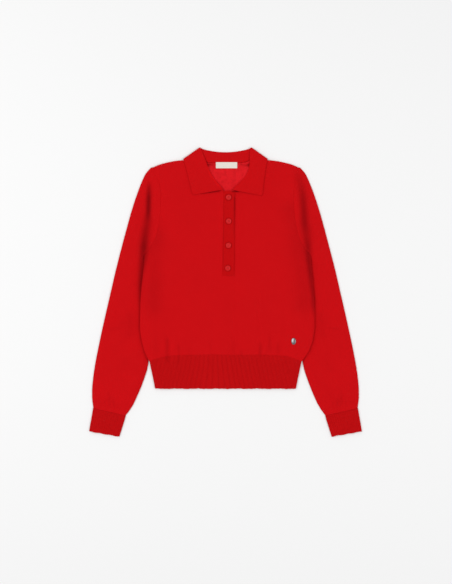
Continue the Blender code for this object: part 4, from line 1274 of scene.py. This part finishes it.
# %% One button
BUTTON_PROFILE = (
    (5.6, 0.0), (6.1, 0.35), (6.35, 0.9), (6.3, 1.4), (6.0, 1.85), (5.5, 2.15), (5.0, 2.2),
    (4.6, 2.1), (4.2, 1.75), (3.8, 1.42), (3.3, 1.3), (2.6, 1.28),
)
HOLE_SPREAD, HOLE_RADIUS = 1.5, 0.75

button = add_turned("button_blank", BUTTON_PROFILE, 48)
drills = []
for a in (-HOLE_SPREAD, HOLE_SPREAD):
    for b in (-HOLE_SPREAD, HOLE_SPREAD):
        bpy.ops.mesh.primitive_cylinder_add(vertices=16, radius=HOLE_RADIUS * MM, depth=8 * MM,
                                            location=(a * MM, b * MM, 0))
        bpy.ops.object.transform_apply()
        drills.append(bpy.context.object)
take(*drills)
bpy.ops.object.join()
drill = bpy.context.object
apply_modifier(button, "BOOLEAN", operation="DIFFERENCE", object=drill, solver="EXACT")
bpy.data.objects.remove(drill)
apply_modifier(button, "BEVEL", width=0.12 * MM, segments=2, limit_method="ANGLE",
               angle_limit=radians(50))
button.data.materials.append(plastic)
loops = [add_thread((0, y, 0.75), 2 * HOLE_SPREAD, 0.95, 0.7, thread)
         for y in (-HOLE_SPREAD, HOLE_SPREAD)]
take(*loops, button)
bpy.ops.object.join()
smooth(button, 40)
print("button:", len(button.data.polygons), "faces")

# %% Four buttons
for node in BUTTONS:
    take(button)
    bpy.ops.object.duplicate()
    copy = call_it(f"sweater_{node}")
    set_down(copy, node)
    dress(copy, node, "button")
bpy.data.objects.remove(button)

# %% [markdown]
# ## The neck label
#
# The label is a short woven tape over the seam at the back of the neck. It is blank: a plain tape
# with two folded ends, each held by a row of stitches.

# %% Neck label
LABEL_FOLD = 3.2  # from each end to the edge of what is turned in, in millimetres
STITCHES_AT = 1.6  # from each end
STITCH_MARGIN = 1.8  # above and below a row of stitches

label = lay_cloth("sweater_neck_label", "neck_label", 0.9 * MM, 0, 0.1 * MM)
unsettle(label, 14, 0.22, 21)
(left, foot, _), (right, head, _) = (np.array(c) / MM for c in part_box("neck_label"))
for x in (left + LABEL_FOLD, right - LABEL_FOLD):
    press(label, [(x, foot), (x, head)], 0.6, 0.25, 0.0, 0.1)
give_wall(label, 0.8, 0.2)
label.data.materials.append(tape)
stitches = []
for x in (left + STITCHES_AT, right - STITCHES_AT):
    for y in np.linspace(foot + STITCH_MARGIN, head - STITCH_MARGIN, 6):
        top = height("neck_label", x * MM, y * MM) / MM
        stitches.append(add_thread((x, y, top - 0.05), 1.7, 0.22, 0.35, label_thread, across=True))
take(*stitches, label)
bpy.ops.object.join()
dress(label, "neck_label", "tape")

# %% [markdown]
# ## The metal plate
#
# A small oval plate is pinned near the hem on the right. It stays plain: a smooth low dome with a
# thin rounded edge, made as the button is and then stretched to an oval.

# %% Metal plate
PLATE_PROFILE = (
    (5.15, 0.0), (5.4, 0.12), (5.5, 0.35), (5.35, 0.6), (5.0, 0.8), (4.4, 1.02), (3.6, 1.24),
    (2.7, 1.42), (1.7, 1.54), (0.8, 1.6),
)
PLATE_LENGTHENED = 8.0 / 5.5

plate = add_turned("sweater_metal_plate", PLATE_PROFILE, 64)
plate.scale = (1, PLATE_LENGTHENED, 1)
take(plate)
bpy.ops.object.transform_apply()
smooth(plate, 40)
set_down(plate, "metal_stud")
dress(plate, "metal_stud", "metal", silver)
print("plate:", len(plate.data.polygons), "faces")

# %% [markdown]
# ## The floor and the light
#
# A pale floor and two large soft lights, one on each side of the camera, with a bright even
# surrounding, light cloth as a product picture does: no hard shadow. The darker creases come partly
# from this light and mostly from shade painted into the cloth.

# %% Floor, lights and surrounding
bpy.ops.mesh.primitive_plane_add(size=8, location=(0, 0, -0.3 * MM))
floor = call_it("floor")
pale, pale_tree, pale_shader = new_material("pale floor")
feed(pale_tree, pale_shader, Base_Color=srgb(233, 233, 233), Roughness=0.9, Specular_IOR_Level=0.0)
floor.data.materials.append(pale)


def add_softbox(name, location, size, power):
    """A square light that looks at the sweater."""
    light = bpy.data.lights.new(name, "AREA")
    light.size, light.energy = size, power
    box = bpy.data.objects.new(name, light)
    box.location = location
    box.rotation_euler = (-Vector(location)).to_track_quat("-Z", "Y").to_euler()
    bpy.context.scene.collection.objects.link(box)


add_softbox("softbox_left", (-1.7, 0.3, 2.3), 1.8, 32)
add_softbox("softbox_right", (1.8, -0.25, 2.4), 1.8, 25)
surrounding = bpy.data.worlds.new("surrounding")
surrounding.use_nodes = True
world_tree = surrounding.node_tree
feed(world_tree, world_tree.nodes["Background"], Color=(1, 1, 1, 1), Strength=0.68)
bpy.context.scene.world = surrounding
bpy.context.scene.view_settings.view_transform = "Standard"
